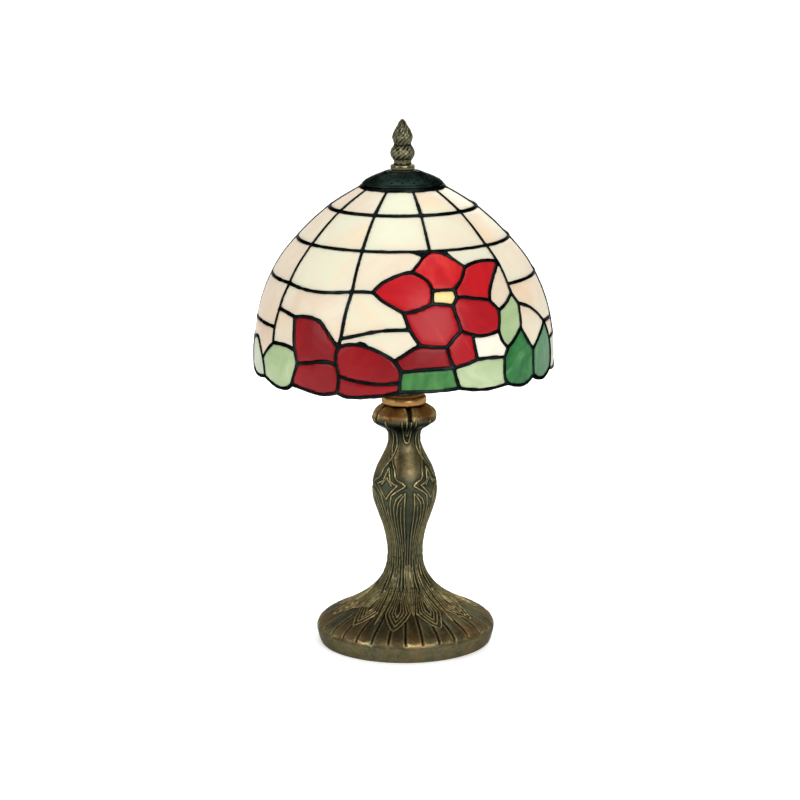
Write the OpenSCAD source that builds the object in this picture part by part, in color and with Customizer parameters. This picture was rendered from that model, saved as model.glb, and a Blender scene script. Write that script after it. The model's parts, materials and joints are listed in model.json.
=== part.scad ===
// Leaded-glass table lamp: a dome of foiled glass pieces on a cast, art-nouveau base.
// Millimetres, +Z up, origin at the centre of the underside. The front looks along -Y.

/* [Base] */
// Width of the foot
foot_d = 120.6; // [116:0.2:124]
// Wall of the hollow casting under the flare
base_wall = 3.5; // [2.5:0.5:5]
// Thickness of the iron weight in the foot
weight_t = 6; // [4:0.5:8]
// Thickness of the felt under the foot
felt_t = 2; // [1:0.5:3]

/* [Shade] */
// Width of the glass dome
shade_d = 200; // [196:0.5:204]
// Thickness of the glass
glass_t = 2.4; // [2:0.1:3]
// Distance from the middle of a seam to the edge of the glass
foil_gap = 0.55; // [0.4:0.05:0.8]
// Width of the soldered seams
seam_w = 2.2; // [1.6:0.1:2.8]
// How far a seam stands proud of the glass on each side
seam_proud = 0.7; // [0.4:0.1:1]

/* [Harp and pipe] */
// Outer radius of the threaded pipe
pipe_r = 5; // [4.5:0.1:5.5]
// Outer half width of the harp
harp_r = 34.5; // [30:0.5:38]
// Width of the harp strip
harp_w = 8; // [6:0.5:10]
// Thickness of the harp strip
harp_t = 1.5; // [1.2:0.1:2]
// Radius of the stud that the finial screws on
stud_r = 3; // [2.5:0.1:3.5]

/* [Bulb] */
// Radius of the globe bulb
bulb_r = 22.5; // [20:0.5:24]
// Outer radius of the bulb's screw cap
bulb_cap_r = 6.9; // [6.8:0.05:6.95]
// Wall of the blown glass
bulb_wall = 0.9; // [0.6:0.1:1.2]

/* [Vented cap] */
// Holes in each ring of the vented cap
vent_count = 20; // [12:1:24]
// Radius of a vent hole
vent_r = 0.9; // [0.6:0.1:1]

/* [Hidden] */
$fn = 64;

// Colours
bronze = "#5a5038";
gilt = "#8d7642";
iron = "#4b4b4d";
brass = "#b08d4a";
patina = "#232a27";
cream = "#e6d9b8";
red_glass = "#b3202a";
deep_red_glass = "#8d1c22";
yellow_glass = "#f0d890";
white_glass = "#eee8d8";
dark_green_glass = "#2f7a3c";
mid_green_glass = "#559a63";
light_green_glass = "#b4cc96";
pale_green_glass = "#b9c4a8";

// Heights of the stack on the lamp's axis
run_gap = 0.2;
base_top = 164;
neck_ring_h = 7.2;
saddle_z = base_top + neck_ring_h;
harp_top = 301.5;
harp_nut_h = 3;
socket_z = saddle_z + harp_t + harp_nut_h + 0.1;
stud_flange_h = 2;
wheel_z = harp_top + stud_flange_h + run_gap;
stud_top = 334;
cap_plate_z = 320;
cap_plate_t = 0.9;
washer_z = cap_plate_z + cap_plate_t + 0.1;
washer_t = 0.6;
finial_z = washer_z + washer_t + 0.1;
finial_tip = 355;

// Foot and stem, as [radius, height]
foot_outline = [[0.955, 0], [0.975, 3], [0.998, 8.5], [1, 11], [0.972, 14], [0.912, 16.8],
    [0.829, 19.5], [0.73, 22.3], [0.63, 25.4], [0.531, 29], [0.438, 32.8], [0.365, 36.8]];
stem_outline = [[18.3, 41.2], [15.2, 45.9], [13.3, 50.3], [12.2, 54.7], [11.8, 60], [11.9, 66],
    [13, 74], [14.7, 80.5], [17, 86.7], [19.2, 93], [21.1, 99], [21.8, 106], [21.6, 110],
    [20.7, 115], [18.3, 121.5], [15, 127.8], [12.3, 133.3], [10.7, 138.5], [10.4, 142],
    [11, 145.3], [13, 148], [17, 150], [20.6, 152.2], [21.7, 155.6], [21, 159], [19.2, 161.2],
    [16.5, 162.8], [14.6, 164]];
base_outline = concat([for (p = foot_outline) [p[0] * foot_d / 2, p[1]]], stem_outline);

// Rings of the shade
crown_z = 311;
ring_1_z = 298;
ring_2_z = 278;
ring_3_z = 254.5;
ribs = 10;
rib_step = 360 / ribs;
first_rib = 14;

// Outer face of the glass, as [height, radius] for a dome 200 wide
dome_outline = [[184, 99.0], [190, 99.7], [198, 100], [206, 99.7], [214, 98.9], [224, 97.4],
    [234, 95.2], [245, 91.4], [254.5, 87], [261, 83.4], [267, 79.4], [278, 70.1], [288.3, 60],
    [298, 48.8], [305.5, 37.3], [312, 25.5]];

function dome_r(z) = lookup(z, dome_outline) * shade_d / 200;
function dome_slope(z) = (dome_r(z + 2) - dome_r(z - 2)) / 4;
function dome_normal(z) = let (s = dome_slope(z)) [1, -s] / norm([1, -s]);

// A point of the dome from [angle, height], sunk below the outer face
function on_dome(p, depth) =
    let (n = dome_normal(p[1]), r = dome_r(p[1]) - depth * n[0])
    [r * sin(p[0]), -r * cos(p[0]), p[1] - depth * n[1]];

// Millimetres along the glass for one degree, and for one millimetre of height
function stretch(p) = [dome_r(p[1]) * PI / 180, norm([1, dome_slope(p[1])])];
function flat_dir(a, b) =
    let (k = stretch((a + b) / 2), d = [(b[0] - a[0]) * k[0], (b[1] - a[1]) * k[1]]) d / norm(d);

// Lists of points
function back(points) = [for (i = [len(points) - 1:-1:0]) points[i]];
function shifted(points, turn) = [for (p = points) [p[0] + turn, p[1]]];
function joined(edges) = [for (e = edges) for (i = [0:1:len(e) - 2]) e[i]];
function signed_area(p) =
    let (n = len(p)) [for (i = [0:n - 1]) p[i][0] * p[(i + 1) % n][1] - p[(i + 1) % n][0] * p[i][1]]
    * [for (i = [0:n - 1]) 0.5];
function clockwise(p) = signed_area(p) > 0 ? back(p) : p;

// Moves each corner of a clockwise outline inwards, with pointed corners held short
longest_mitre = 3;
function inset(p, gap) =
    let (n = len(p))
    [for (i = [0:n - 1])
        let (
            d1 = flat_dir(p[(i + n - 1) % n], p[i]),
            d2 = flat_dir(p[i], p[(i + 1) % n]),
            n1 = [d1[1], -d1[0]],
            n2 = [d2[1], -d2[0]],
            reach = min(1 / (1 + n1 * n2), longest_mitre) * gap,
            move = (n1 + n2) * reach,
            k = stretch(p[i]))
        [p[i][0] + move[0] / k[0], p[i][1] + move[1] / k[1]]];

// Lead lines of the pattern, as [angle from the front, height]. The pattern covers half the
// shade, from -94 to 86 degrees, and repeats on the other half.
pattern_left = -94;
pattern_right = 86;
rib_a = -58;
rib_b = -22;
rib_d = 50.5;

ring_2_far = [for (a = [0:0.25:1]) [pattern_left + a * rib_step, ring_2_z]];
ring_2_ab = [for (a = [0:0.25:1]) [rib_a + a * rib_step, ring_2_z]];
ring_2_left = [[rib_b, 278], [-13, 278], [-4, 278], [4, 278], [12.5, 278]];
ring_2_right = [[21.5, 278], [31, 278], [41, 278], [rib_d, 278]];
ring_2_d = [[rib_d, 278], [59.5, 278], [68.5, 278], [77, 278], [pattern_right, 278]];
ring_3_far = [for (a = [0:0.25:1]) [pattern_left + a * rib_step, ring_3_z]];
ring_3_ab = [[rib_a, 254.5], [-49, 253], [-40, 252.5], [-31, 253], [rib_b, 254.5]];
ring_3_b = [[rib_b, 254.5], [-13, 254.5]];
ring_3_d = [[50.7, 254.5], [59.5, 254.5], [68.5, 254.5], [77, 254.5], [pattern_right, 254.5]];
ring_4_left = [[pattern_left, 224.5], [-85, 225.5], [-76, 226], [-67.5, 226], [-59.6, 226]];
ring_4_right = [[71, 226], [78, 225.3], [pattern_right, 224.5]];

rib_e_mid = [[pattern_right, 278], [pattern_right, 266], [pattern_right, 254.5]];
rib_e_low = [[pattern_right, 254.5], [pattern_right, 240], [pattern_right, 224.5]];
rib_e_foot = [[pattern_right, 224.5], [pattern_right, 213]];
rib_a_mid = [[rib_a, 278], [rib_a, 266], [rib_a, 254.5]];
rib_a_low = [[rib_a, 254.5], [-58.7, 246], [-59, 238.3]];
rib_a_foot = [[-59, 238.3], [-59.6, 226]];
rib_a_end = [[-59.6, 226], [-59.3, 215.7]];
rib_b_mid = [[rib_b, 278], [rib_b, 266], [rib_b, 254.5]];
rib_b_low = [[rib_b, 254.5], [-23.3, 243], [-24.1, 230], [-24.4, 225.5]];
rib_b_end = [[-24.4, 225.5], [-25.3, 220]];
rib_d_top = [[rib_d, 278], [51, 268.5]];
rib_d_mid = [[51, 268.5], [50.9, 261], [50.7, 254.5]];
rib_d_end = [[50.7, 254.5], [50.7, 249]];

p1_top = [[-13, 254.5], [-10, 259.5], [-5.5, 263], [-1, 265.5], [3.5, 266.5]];
p1_p2 = [[3.5, 266.5], [8, 264], [11, 260.5], [12.2, 255.5]];
p1_heart = [[12.2, 255.5], [11.5, 247.5]];
p1_p5 = [[11.5, 247.5], [5.5, 244], [0, 242.5]];
p1_field = [[0, 242.5], [-3.5, 245.5], [-9, 250], [-13, 254.5]];
p2_left = [[3.5, 266.5], [7.5, 271.5], [10.5, 275.3]];
p2_tip = [[10.5, 275.3], [15, 278], [20.5, 276.5]];
p2_right = [[20.5, 276.5], [26, 272.3], [30, 268]];
p2_p3 = [[30, 268], [26, 260.5], [22, 255.5]];
heart_top = [[22, 255.5], [12.2, 255.5]];
p3_top = [[30, 268], [34.5, 269.5], [40, 270.3], [46, 269.8], [51, 268.5]];
p3_right = [[51, 268.5], [47, 264.3], [43, 259.6], [40, 254.6], [38.3, 250.3], [37.6, 246.5]];
p3_p4 = [[37.6, 246.5], [34.5, 248.2], [30, 249.2], [26, 250.5], [22.3, 250.5]];
p3_heart = [[22.3, 250.5], [22, 255.5]];
heart_p4 = [[22.3, 250.5], [20.3, 246]];
heart_p5 = [[20.3, 246], [15.5, 247.2], [11.5, 247.5]];
p4_field = [[37.6, 246.5], [41, 240]];
p4_g3 = [[41, 240], [40.3, 234], [39.2, 227.6]];
p4_white = [[39.2, 227.6], [34.5, 226.2], [30, 226], [27, 227.2]];
p4_p6 = [[27, 227.2], [22.4, 230]];
p4_p5 = [[22.4, 230], [21.8, 235], [20.8, 240.5], [20.3, 246]];
p5_p6 = [[22.4, 230], [20.2, 227.4], [16.3, 220.8]];
p5_r1 = [[16.3, 220.8], [10.3, 221.4], [6.2, 222.3]];
p5_foot = [[6.2, 222.3], [4, 227.5], [2.3, 232.3]];
p5_left = [[2.3, 232.3], [0.9, 238], [0, 242.5]];
p6_white = [[27, 227.2], [27.5, 220], [28.2, 211.3]];
p6_g2 = [[28.2, 211.3], [24, 209.2], [18.6, 207.4]];
p6_r1 = [[18.6, 207.4], [17.2, 214], [16.3, 220.8]];
white_g3 = [[39.2, 227.6], [40, 221.5], [42.8, 216]];
white_g4 = [[42.8, 216], [40.8, 210.5]];
white_g2 = [[40.8, 210.5], [36, 211.3], [31.6, 211.6], [28.2, 211.3]];
r1_top = [[-3.5, 213], [0, 216.7], [3.4, 220.3], [6.2, 222.3]];
r1_g1 = [[18.6, 207.4], [8.5, 207.2], [-1, 206]];
r1_q3 = [[-1, 206], [-3.5, 213]];
g1_g2 = [[18.6, 207.4], [19.6, 200], [20.8, 194]];
g1_rim = [[20.8, 194], [15, 193.3], [9.5, 193], [4, 193.2], [-1.8, 193]];
g1_q4 = [[-1.8, 193], [-1.5, 199]];
g1_q3 = [[-1.5, 199], [-1, 206]];
g2_g4 = [[40.8, 210.5], [40.3, 203], [40.5, 197], [42, 192.8]];
g2_rim = [[42, 192.8], [36.5, 191.8], [31.6, 191.5], [26, 192.3], [20.8, 194]];
g3_left = [[41, 240], [46, 243.8], [50.7, 249]];
g3_tip = [[50.7, 249], [53.2, 242]];
g3_right = [[53.2, 242], [52.3, 234], [51.3, 227.3]];
g3_g4 = [[51.3, 227.3], [46.4, 220.3], [42.8, 216]];
g4_right = [[51.3, 227.3], [52.8, 222.5], [55.2, 216.8], [57.8, 211.3]];
g4_g5 = [[57.8, 211.3], [57.2, 203], [57.5, 194.5]];
g4_rim = [[57.5, 194.5], [54.3, 191.2], [51, 189.8], [46.9, 190.3], [42, 192.8]];
g5_left = [[57.8, 211.3], [62.3, 216.5], [66.8, 221.2], [71, 226]];
g5_right = [[71, 226], [73, 220.5], [74.8, 213]];
g5_g6 = [[74.8, 213], [75.2, 206.5], [74.8, 200], [73.5, 193.7]];
g5_rim = [[73.5, 193.7], [69.5, 191], [65.7, 189.8], [61, 191.2], [57.5, 194.5]];
g6_top = [[74.8, 213], [80, 213.6], [pattern_right, 213]];
g6_far = [[pattern_right, 213], [90, 212.3], [93, 211]];
g6_g7 = [[93, 211], [94, 203], [93.5, 194]];
g6_rim = [[93.5, 194], [87, 191.8], [80, 191.6], [73.5, 193.7]];
g7_top = [[-87, 211], [-81, 214.3], [-75.3, 214.8], [-70.8, 209.5], [-67.6, 203.5]];
g7_g8 = [[-67.6, 203.5], [-66, 197.5], [-65.7, 192]];
g7_rim = [[-65.7, 192], [-71, 190.5], [-77, 190.3], [-83, 191.8], [-86.5, 194]];
g8_left = [[-67.6, 203.5], [-64.5, 209], [-59.3, 215.7]];
g8_top = [[-59.3, 215.7], [-54.3, 216.6], [-49.2, 216.3], [-45.3, 214.5]];
g8_q1 = [[-45.3, 214.5], [-43.5, 206.5]];
g8_q2 = [[-43.5, 206.5], [-44.8, 200.5], [-46.8, 191.8]];
g8_rim = [[-46.8, 191.8], [-50.3, 188.4], [-55, 187.9], [-60, 189.4], [-65.7, 192]];
q1_top = [[-47.8, 235.5], [-43, 236.6], [-38.4, 236.5], [-34, 234.7], [-31.2, 230.5],
    [-28.4, 225.6], [-25.3, 220]];
q1_q3 = [[-25.3, 220], [-26.1, 214], [-25.7, 208.5]];
q1_q2 = [[-25.7, 208.5], [-29, 210.2], [-34, 209.5], [-38, 208], [-43.5, 206.5]];
q1_left = [[-45.3, 214.5], [-46.4, 222], [-47, 228.5], [-47.8, 235.5]];
q2_q3 = [[-25.7, 208.5], [-24.6, 202]];
q2_q4 = [[-24.6, 202], [-24.8, 197], [-25.6, 190.5]];
q2_rim = [[-25.6, 190.5], [-30, 189], [-34.5, 188.8], [-41.5, 190.8], [-46.8, 191.8]];
q3_top = [[-25.3, 220], [-23, 221.6], [-18.8, 222.6], [-14.2, 221.7], [-9.5, 218.7], [-3.5, 213]];
q3_q4 = [[-1.5, 199], [-8, 198], [-15.3, 198.7], [-20.5, 200.2], [-24.6, 202]];
q4_rim = [[-1.8, 193], [-6, 191.2], [-11.4, 189.7], [-21, 188.6], [-25.6, 190.5]];
stem_line = [[2.3, 232.3], [-5.7, 232], [-11.4, 230.8], [-17, 228.6], [-24.4, 225.5]];
left_line = [[-47.8, 235.5], [-53.5, 237.2], [-59, 238.3]];
right_line = [[53.2, 242], [60, 238.3], [66, 232.3], [71, 226]];

seam_lines = [ring_3_far, ring_3_ab, ring_3_b, ring_3_d, ring_4_left, ring_4_right,
    rib_e_mid, rib_e_low, rib_e_foot, rib_a_mid, rib_a_low, rib_a_foot, rib_a_end,
    rib_b_mid, rib_b_low, rib_b_end, rib_d_top, rib_d_mid, rib_d_end,
    p1_top, p1_p2, p1_heart, p1_p5, p1_field, p2_left, p2_tip, p2_right, p2_p3, heart_top,
    p3_top, p3_right, p3_p4, p3_heart, heart_p4, heart_p5, p4_field, p4_g3, p4_white, p4_p6,
    p4_p5, p5_p6, p5_r1, p5_foot, p5_left, p6_white, p6_g2, p6_r1, white_g3, white_g4,
    white_g2, r1_top, r1_g1, r1_q3, g1_g2, g1_q4, g1_q3, g2_g4, g3_left, g3_tip, g3_right,
    g3_g4, g4_right, g4_g5, g5_left, g5_right, g5_g6, g6_top, g6_far, g6_g7, g7_top, g7_g8,
    g8_left, g8_top, g8_q1, g8_q2, q1_top, q1_q3, q1_q2, q1_left, q2_q3, q2_q4, q3_top,
    q3_q4, stem_line, left_line, right_line];
// Junctions that carry a large blob of solder
blob_points = [p1_p2[0], heart_top[0], heart_top[1], p3_heart[0], heart_p4[1], p1_p5[0], p4_p6[0],
    p4_p6[1], p3_top[4], p3_right[5], white_g3[2], g4_g5[0], g5_left[3], rib_b_end[1]];
half_rim = joined([back(g7_rim), back(g8_rim), back(q2_rim), back(q4_rim), back(g1_rim),
    back(g2_rim), back(g4_rim), back(g5_rim), back(g6_rim)]);

// Faces of a tube of rings that each have the given number of corners
function tube_faces(rings, corners, closed) =
    [for (i = [0:rings - (closed ? 1 : 2)], j = [0:corners - 1])
        let (a = i * corners, b = ((i + 1) % rings) * corners, k = (j + 1) % corners)
        each [[a + j, b + j, b + k], [a + j, b + k, a + k]]];

// A soldered seam along a path of [angle, height] points, diamond-shaped in section
module bead(path, width, closed = false) {
    n = len(path);
    rings = [for (i = [0:n - 1])
        let (
            a = closed ? path[(i + n - 1) % n] : path[max(i - 1, 0)],
            b = closed ? path[(i + 1) % n] : path[min(i + 1, n - 1)],
            wrap = closed && b[0] < a[0] ? [360, 0] : [0, 0],
            d = flat_dir(a, b + wrap),
            k = stretch(path[i]),
            side = [-d[1] / k[0], d[0] / k[1]] * width / 2)
        each [on_dome(path[i] + side, glass_t / 2), on_dome(path[i], -seam_proud),
            on_dome(path[i] - side, glass_t / 2), on_dome(path[i], glass_t + seam_proud)]];
    ends = closed ? [] : [[0, 1, 2], [0, 2, 3],
        [4 * n - 1, 4 * n - 2, 4 * n - 3], [4 * n - 1, 4 * n - 3, 4 * n - 4]];
    polyhedron(rings, concat(tube_faces(n, 4, closed), ends));
}

// The blob of solder where seams meet
module solder_blob(p) {
    blob_r = 0.6 * seam_w;
    hull() {
        translate(on_dome(p, 0)) sphere(blob_r, $fn = 5);
        translate(on_dome(p, glass_t)) sphere(blob_r, $fn = 5);
    }
}

module both_halves() {
    for (turn = [0, 180])
        rotate([0, 0, turn]) children();
}

// One glass piece from its lead lines, with one or two hubs that see its whole outline
module glass(edges, hubs) {
    rim = inset(clockwise(joined(edges)), foil_gap);
    n = len(rim);
    h = len(hubs);
    owner = [for (p = rim) h > 1 && norm(p - hubs[1]) < norm(p - hubs[0]) ? 1 : 0];
    middle = [for (i = [0:n - 1]) (rim[i] + hubs[owner[i]]) / 2];
    flat = concat(rim, middle, hubs);
    m = len(flat);
    points = [for (depth = [0, glass_t], p = flat) on_dome(p, depth)];
    outer = concat(
        [for (i = [0:n - 1]) let (j = (i + 1) % n) each [[i, j, n + j], [i, n + j, n + i]]],
        [for (i = [0:n - 1]) [n + i, n + (i + 1) % n, 2 * n + owner[i]]],
        [for (i = [0:n - 1]) let (j = (i + 1) % n)
            if (owner[i] != owner[j]) [n + j, 2 * n + owner[j], 2 * n + owner[i]]]);
    inner = [for (f = outer) [f[2] + m, f[1] + m, f[0] + m]];
    edge = [for (i = [0:n - 1]) let (j = (i + 1) % n) each [[i, i + m, j + m], [i, j + m, j]]];
    polyhedron(points, concat(outer, inner, edge));
}

// A ring of equal tiles between two heights, with true round faces
module tile_ring(z0, z1, gap_angle) {
    heights = [z0, (z0 + z1) / 2, z1];
    band = concat(
        [for (z = heights) [dome_r(z), z]],
        [for (z = back(heights))
            let (n = dome_normal(z)) [dome_r(z) - glass_t * n[0], z - glass_t * n[1]]]);
    for (i = [0:ribs - 1])
        rotate([0, 0, first_rib - 90 + i * rib_step + gap_angle])
            rotate_extrude(angle = rib_step - 2 * gap_angle, start = 0)
                polygon(band);
}

module ring(r, z, section_r) {
    rotate_extrude()
        translate([r, z]) circle(section_r, $fn = 24);
}

module tube(r_out, r_in, z0, z1) {
    difference() {
        translate([0, 0, z0]) cylinder(r = r_out, h = z1 - z0);
        translate([0, 0, z0 - 1]) cylinder(r = r_in, h = z1 - z0 + 2);
    }
}

module hex_nut(across_flats, bore, z0, z1) {
    difference() {
        translate([0, 0, z0]) cylinder(d = across_flats / cos(30), h = z1 - z0, $fn = 6);
        translate([0, 0, z0 - 1]) cylinder(r = bore, h = z1 - z0 + 2);
    }
}

// Base
weight_z = felt_t + 0.5;
rim_h = 12;
rim_in = foot_d / 2 - base_wall - 1.5;
cavity_top = 26;
cavity_top_r = 24;
pipe_hole_r = pipe_r + 0.1;
outlet_z = 7.5;
outlet_r = 4;
pipe_foot = 15;
pipe_top = socket_z + 4;
lobe_count = 5;
first_lobe_cleft = 11;
cleft_r = 2.6;
cleft_at = 23.6;
cleft_foot = 146;
thread_fit = 0.05;
slide_fit = 0.15;

module cast_base() {
    inner = [[0, -1], [rim_in, -1], [rim_in, rim_h], [rim_in - 6, rim_h + 3],
        [cavity_top_r, cavity_top], [0, cavity_top]];
    color(bronze) difference() {
        rotate_extrude()
            polygon(concat([[0, 0.4], [foot_outline[0][0] * foot_d / 2, 0.4]],
                [for (i = [1:len(base_outline) - 1]) base_outline[i]], [[0, base_top]]));
        rotate_extrude() polygon(inner);
        cylinder(r = pipe_hole_r, h = base_top + 1);
        // Cord outlet through the rim at the back
        translate([0, foot_d / 2 - 12, outlet_z]) rotate([-90, 0, 0]) cylinder(r = outlet_r, h = 20);
        // Clefts between the lobes of the collar
        for (i = [0:lobe_count - 1])
            rotate([0, 0, first_lobe_cleft - 90 + i * 360 / lobe_count])
                translate([cleft_at, 0, cleft_foot]) cylinder(r = cleft_r, h = base_top - cleft_foot);
    }
}

module felt_pad() {
    color("#2d3a2e") tube(rim_in - 0.4, 9, 0, felt_t);
}

module weight_disc() {
    color(iron) difference() {
        tube(rim_in - 4, pipe_hole_r, weight_z, weight_z + weight_t);
        // Slot that the lead rises through on its way from the outlet to the pipe
        translate([-4, 12, weight_z - 1]) cube([8, rim_in, weight_t + 2]);
    }
}

module lamp_pipe() {
    color(brass) tube(pipe_r, pipe_r - 1.3, pipe_foot, pipe_top);
}

module bottom_nut() {
    color(brass) hex_nut(16, pipe_r + thread_fit, cavity_top - 5, cavity_top - 1.1);
}

module bottom_washer() {
    color("#9a9a96") tube(11, pipe_r + 0.1, cavity_top - 1, cavity_top);
}

module cord_bush() {
    bush_r = 2.6;
    bush_l = 8.6;
    collar_t = 1.8;
    color("#1d1d1d") translate([0, foot_d / 2 - 10, outlet_z]) rotate([-90, 0, 0]) difference() {
        union() {
            cylinder(r = outlet_r - thread_fit, h = bush_l);
            translate([0, 0, 1.4]) cylinder(r = outlet_r + 0.9, h = collar_t);
        }
        translate([0, 0, -1]) cylinder(r = bush_r, h = bush_l + 2);
    }
}

module neck_ring() {
    color(gilt) difference() {
        rotate_extrude() polygon([[0, base_top], [13.8, base_top], [14.7, base_top + 1],
            [15, base_top + 2.8], [14.9, base_top + 4.4], [14.2, base_top + 5.8],
            [13.2, base_top + 6.6], [12.8, saddle_z], [0, saddle_z]]);
        translate([0, 0, base_top - 1]) cylinder(r = pipe_hole_r, h = neck_ring_h + 2);
    }
}

// Harp
nut_w = 14;
nut_seat_r = nut_w / sqrt(3) + 0.3;
stud_head_r = 4.5;

module harp() {
    low = saddle_z + harp_r;
    high = harp_top - harp_r;
    color(brass) difference() {
        union() {
            translate([0, harp_w / 2, 0]) rotate([90, 0, 0]) linear_extrude(harp_w) difference() {
                loop_shape(harp_r, low, high);
                loop_shape(harp_r - harp_t, low, high);
            }
            translate([-10, -harp_w / 2, saddle_z]) cube([20, harp_w, harp_t]);
            translate([-6, -harp_w / 2, harp_top - harp_t]) cube([12, harp_w, harp_t]);
        }
        translate([0, 0, saddle_z - 1]) cylinder(r = pipe_r + thread_fit, h = harp_t + 2);
        translate([0, 0, harp_top - 4]) cylinder(r = stud_r + thread_fit, h = 5);
        // Flats that the nut and the head of the stud sit on
        translate([0, 0, saddle_z + harp_t]) cylinder(r = nut_seat_r, h = harp_nut_h);
        translate([0, 0, harp_top - harp_t - 2]) cylinder(r = stud_head_r + 0.3, h = 2);
    }
}

module loop_shape(r, low, high) {
    translate([0, low]) circle(r);
    translate([0, high]) circle(r);
    translate([-r, low]) square([2 * r, high - low]);
}

module harp_nut() {
    z = saddle_z + harp_t;
    color(brass) hex_nut(nut_w, pipe_r + thread_fit, z, z + harp_nut_h);
}

module harp_stud() {
    color(brass) {
        translate([0, 0, harp_top - harp_t - 2]) cylinder(r = stud_r, h = stud_top - harp_top + harp_t + 2);
        translate([0, 0, harp_top]) cylinder(r = 6, h = stud_flange_h, $fn = 6);
        translate([0, 0, harp_top - harp_t - 1.5]) cylinder(r = stud_head_r, h = 1.4);
    }
}

// Lampholder
shell_r = 12.4;
holder_top = socket_z + 50;
insulator_top = socket_z + 20;
contact_top = insulator_top + 2.5;
screw_shell_r = bulb_cap_r + 0.2;

module socket_cap() {
    color(brass) difference() {
        rotate_extrude() polygon([[0, socket_z], [10, socket_z], [13.4, socket_z + 4],
            [13.4, socket_z + 15], [shell_r, socket_z + 15], [shell_r, socket_z + 4.6],
            [9.6, socket_z + 1.2], [0, socket_z + 1.2]]);
        translate([0, 0, socket_z - 1]) cylinder(r = pipe_r + thread_fit, h = 4);
    }
}

module socket_shell() {
    color(brass) rotate_extrude()
        polygon([[shell_r - 0.9, socket_z + 8], [shell_r - 0.05, socket_z + 8],
            [shell_r - 0.05, holder_top - 4], [shell_r - 1.5, holder_top],
            [shell_r - 2.4, holder_top], [shell_r - 0.9, holder_top - 4.4]]);
}

module socket_insulator() {
    color("#3a2c22") difference() {
        translate([0, 0, socket_z + 9]) cylinder(r = shell_r - 1, h = insulator_top - socket_z - 9);
        for (x = [-8.2, 8.2])
            translate([x, 0, socket_z + 8]) cylinder(r = 1.5, h = 7);
    }
}

module socket_contact() {
    color(brass) translate([0, 0, insulator_top]) cylinder(r = 2.4, h = contact_top - insulator_top);
}

module socket_screw_shell() {
    color(brass) tube(screw_shell_r + 0.5, screw_shell_r, insulator_top, holder_top - 2);
}

module terminal_screws() {
    color("#c8b27a") for (x = [-8.2, 8.2]) {
        translate([x, 0, socket_z + 9]) cylinder(r = 1.45, h = 5.9);
        translate([x, 0, socket_z + 7.4]) cylinder(r = 2.4, h = 1.55);
    }
}

// Bulb
cap_foot = contact_top + 0.9;
cap_top = cap_foot + 24;
globe_z = cap_top + bulb_r + 4;
neck_r = bulb_cap_r - 0.5;

module bulb_contact() {
    color("#b9b9b9") translate([0, 0, contact_top + 0.1]) cylinder(r = 2.1, h = 0.7);
}

module bulb_screw_cap() {
    color("#c9c6bd") rotate_extrude()
        polygon([[0, cap_foot], [3, cap_foot], [bulb_cap_r, cap_foot + 3], [bulb_cap_r, cap_top],
            [neck_r + 0.05, cap_top], [neck_r + 0.05, cap_foot + 4], [0, cap_foot + 2]]);
}

// Side of the globe from the neck to the crown, as [radius, height]
function globe_side(r) =
    [for (a = [-72:9:90]) [r * cos(a), globe_z + r * sin(a)]];

module bulb_glass() {
    neck_in = neck_r - bulb_wall;
    color("#f4ecd6", 0.5) rotate_extrude()
        polygon(concat([[neck_r, cap_foot + 5]], [[neck_r, cap_top + 3]], globe_side(bulb_r),
            back(globe_side(bulb_r - bulb_wall)), [[neck_in, cap_top + 3]],
            [[neck_in, cap_foot + 5]]));
}

module bulb_stem() {
    color("#e8e8e0") rotate_extrude()
        polygon([[0, cap_foot + 5], [neck_r - 1.6, cap_foot + 5], [3, cap_top + 2], [1.6, cap_top + 8],
            [1.2, globe_z - 4], [0, globe_z - 4]]);
}

module bulb_filament() {
    filament_r = 7;
    z = globe_z - 5.5;
    color("#d8a860") {
        ring(filament_r, z, 0.6);
        for (turn = [0, 120, 240])
            rotate([0, 0, turn]) translate([1.1, 0, z]) rotate([0, 90, 0]) cylinder(r = 0.3, h = 5.9);
    }
}

// Shade carrier
wheel_t = 1.6;
wheel_rim_h = 3;
wheel_r = 24.5;
hub_h = 2.4;
spacer_z = wheel_z + hub_h;
cap_rim_r = 26.3;
cap_rim_z = 313;
cap_rim_wire = 0.7;
crown_ring_z = wheel_z + wheel_rim_h + run_gap;

module shade_wheel() {
    color(brass) difference() {
        union() {
            tube(wheel_r, wheel_r - 2.5, wheel_z, wheel_z + wheel_rim_h);
            for (turn = [0, 60, 120])
                rotate([0, 0, turn]) translate([-wheel_r + 1, -2.5, wheel_z])
                    cube([2 * wheel_r - 2, 5, wheel_t]);
            translate([0, 0, wheel_z]) cylinder(r = 9, h = hub_h);
        }
        translate([0, 0, wheel_z - 1]) cylinder(r = stud_r + slide_fit, h = 6);
    }
}

module cap_spacer() {
    color(brass) tube(5.5, stud_r + slide_fit, spacer_z, cap_plate_z);
}

// Vented cap, as a thin shell with rings of holes and a rolled rim
cap_side = [[cap_rim_r, cap_rim_z], [25.4, 314.6], [23.4, 315.8], [21, 317], [18.3, 318.2],
    [14.9, 319.5], [11.7, cap_plate_z + cap_plate_t]];
cap_wall = 0.8;
vent_rings = [[23.7, 0], [20.8, 0.5], [17.8, 0]];

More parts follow.
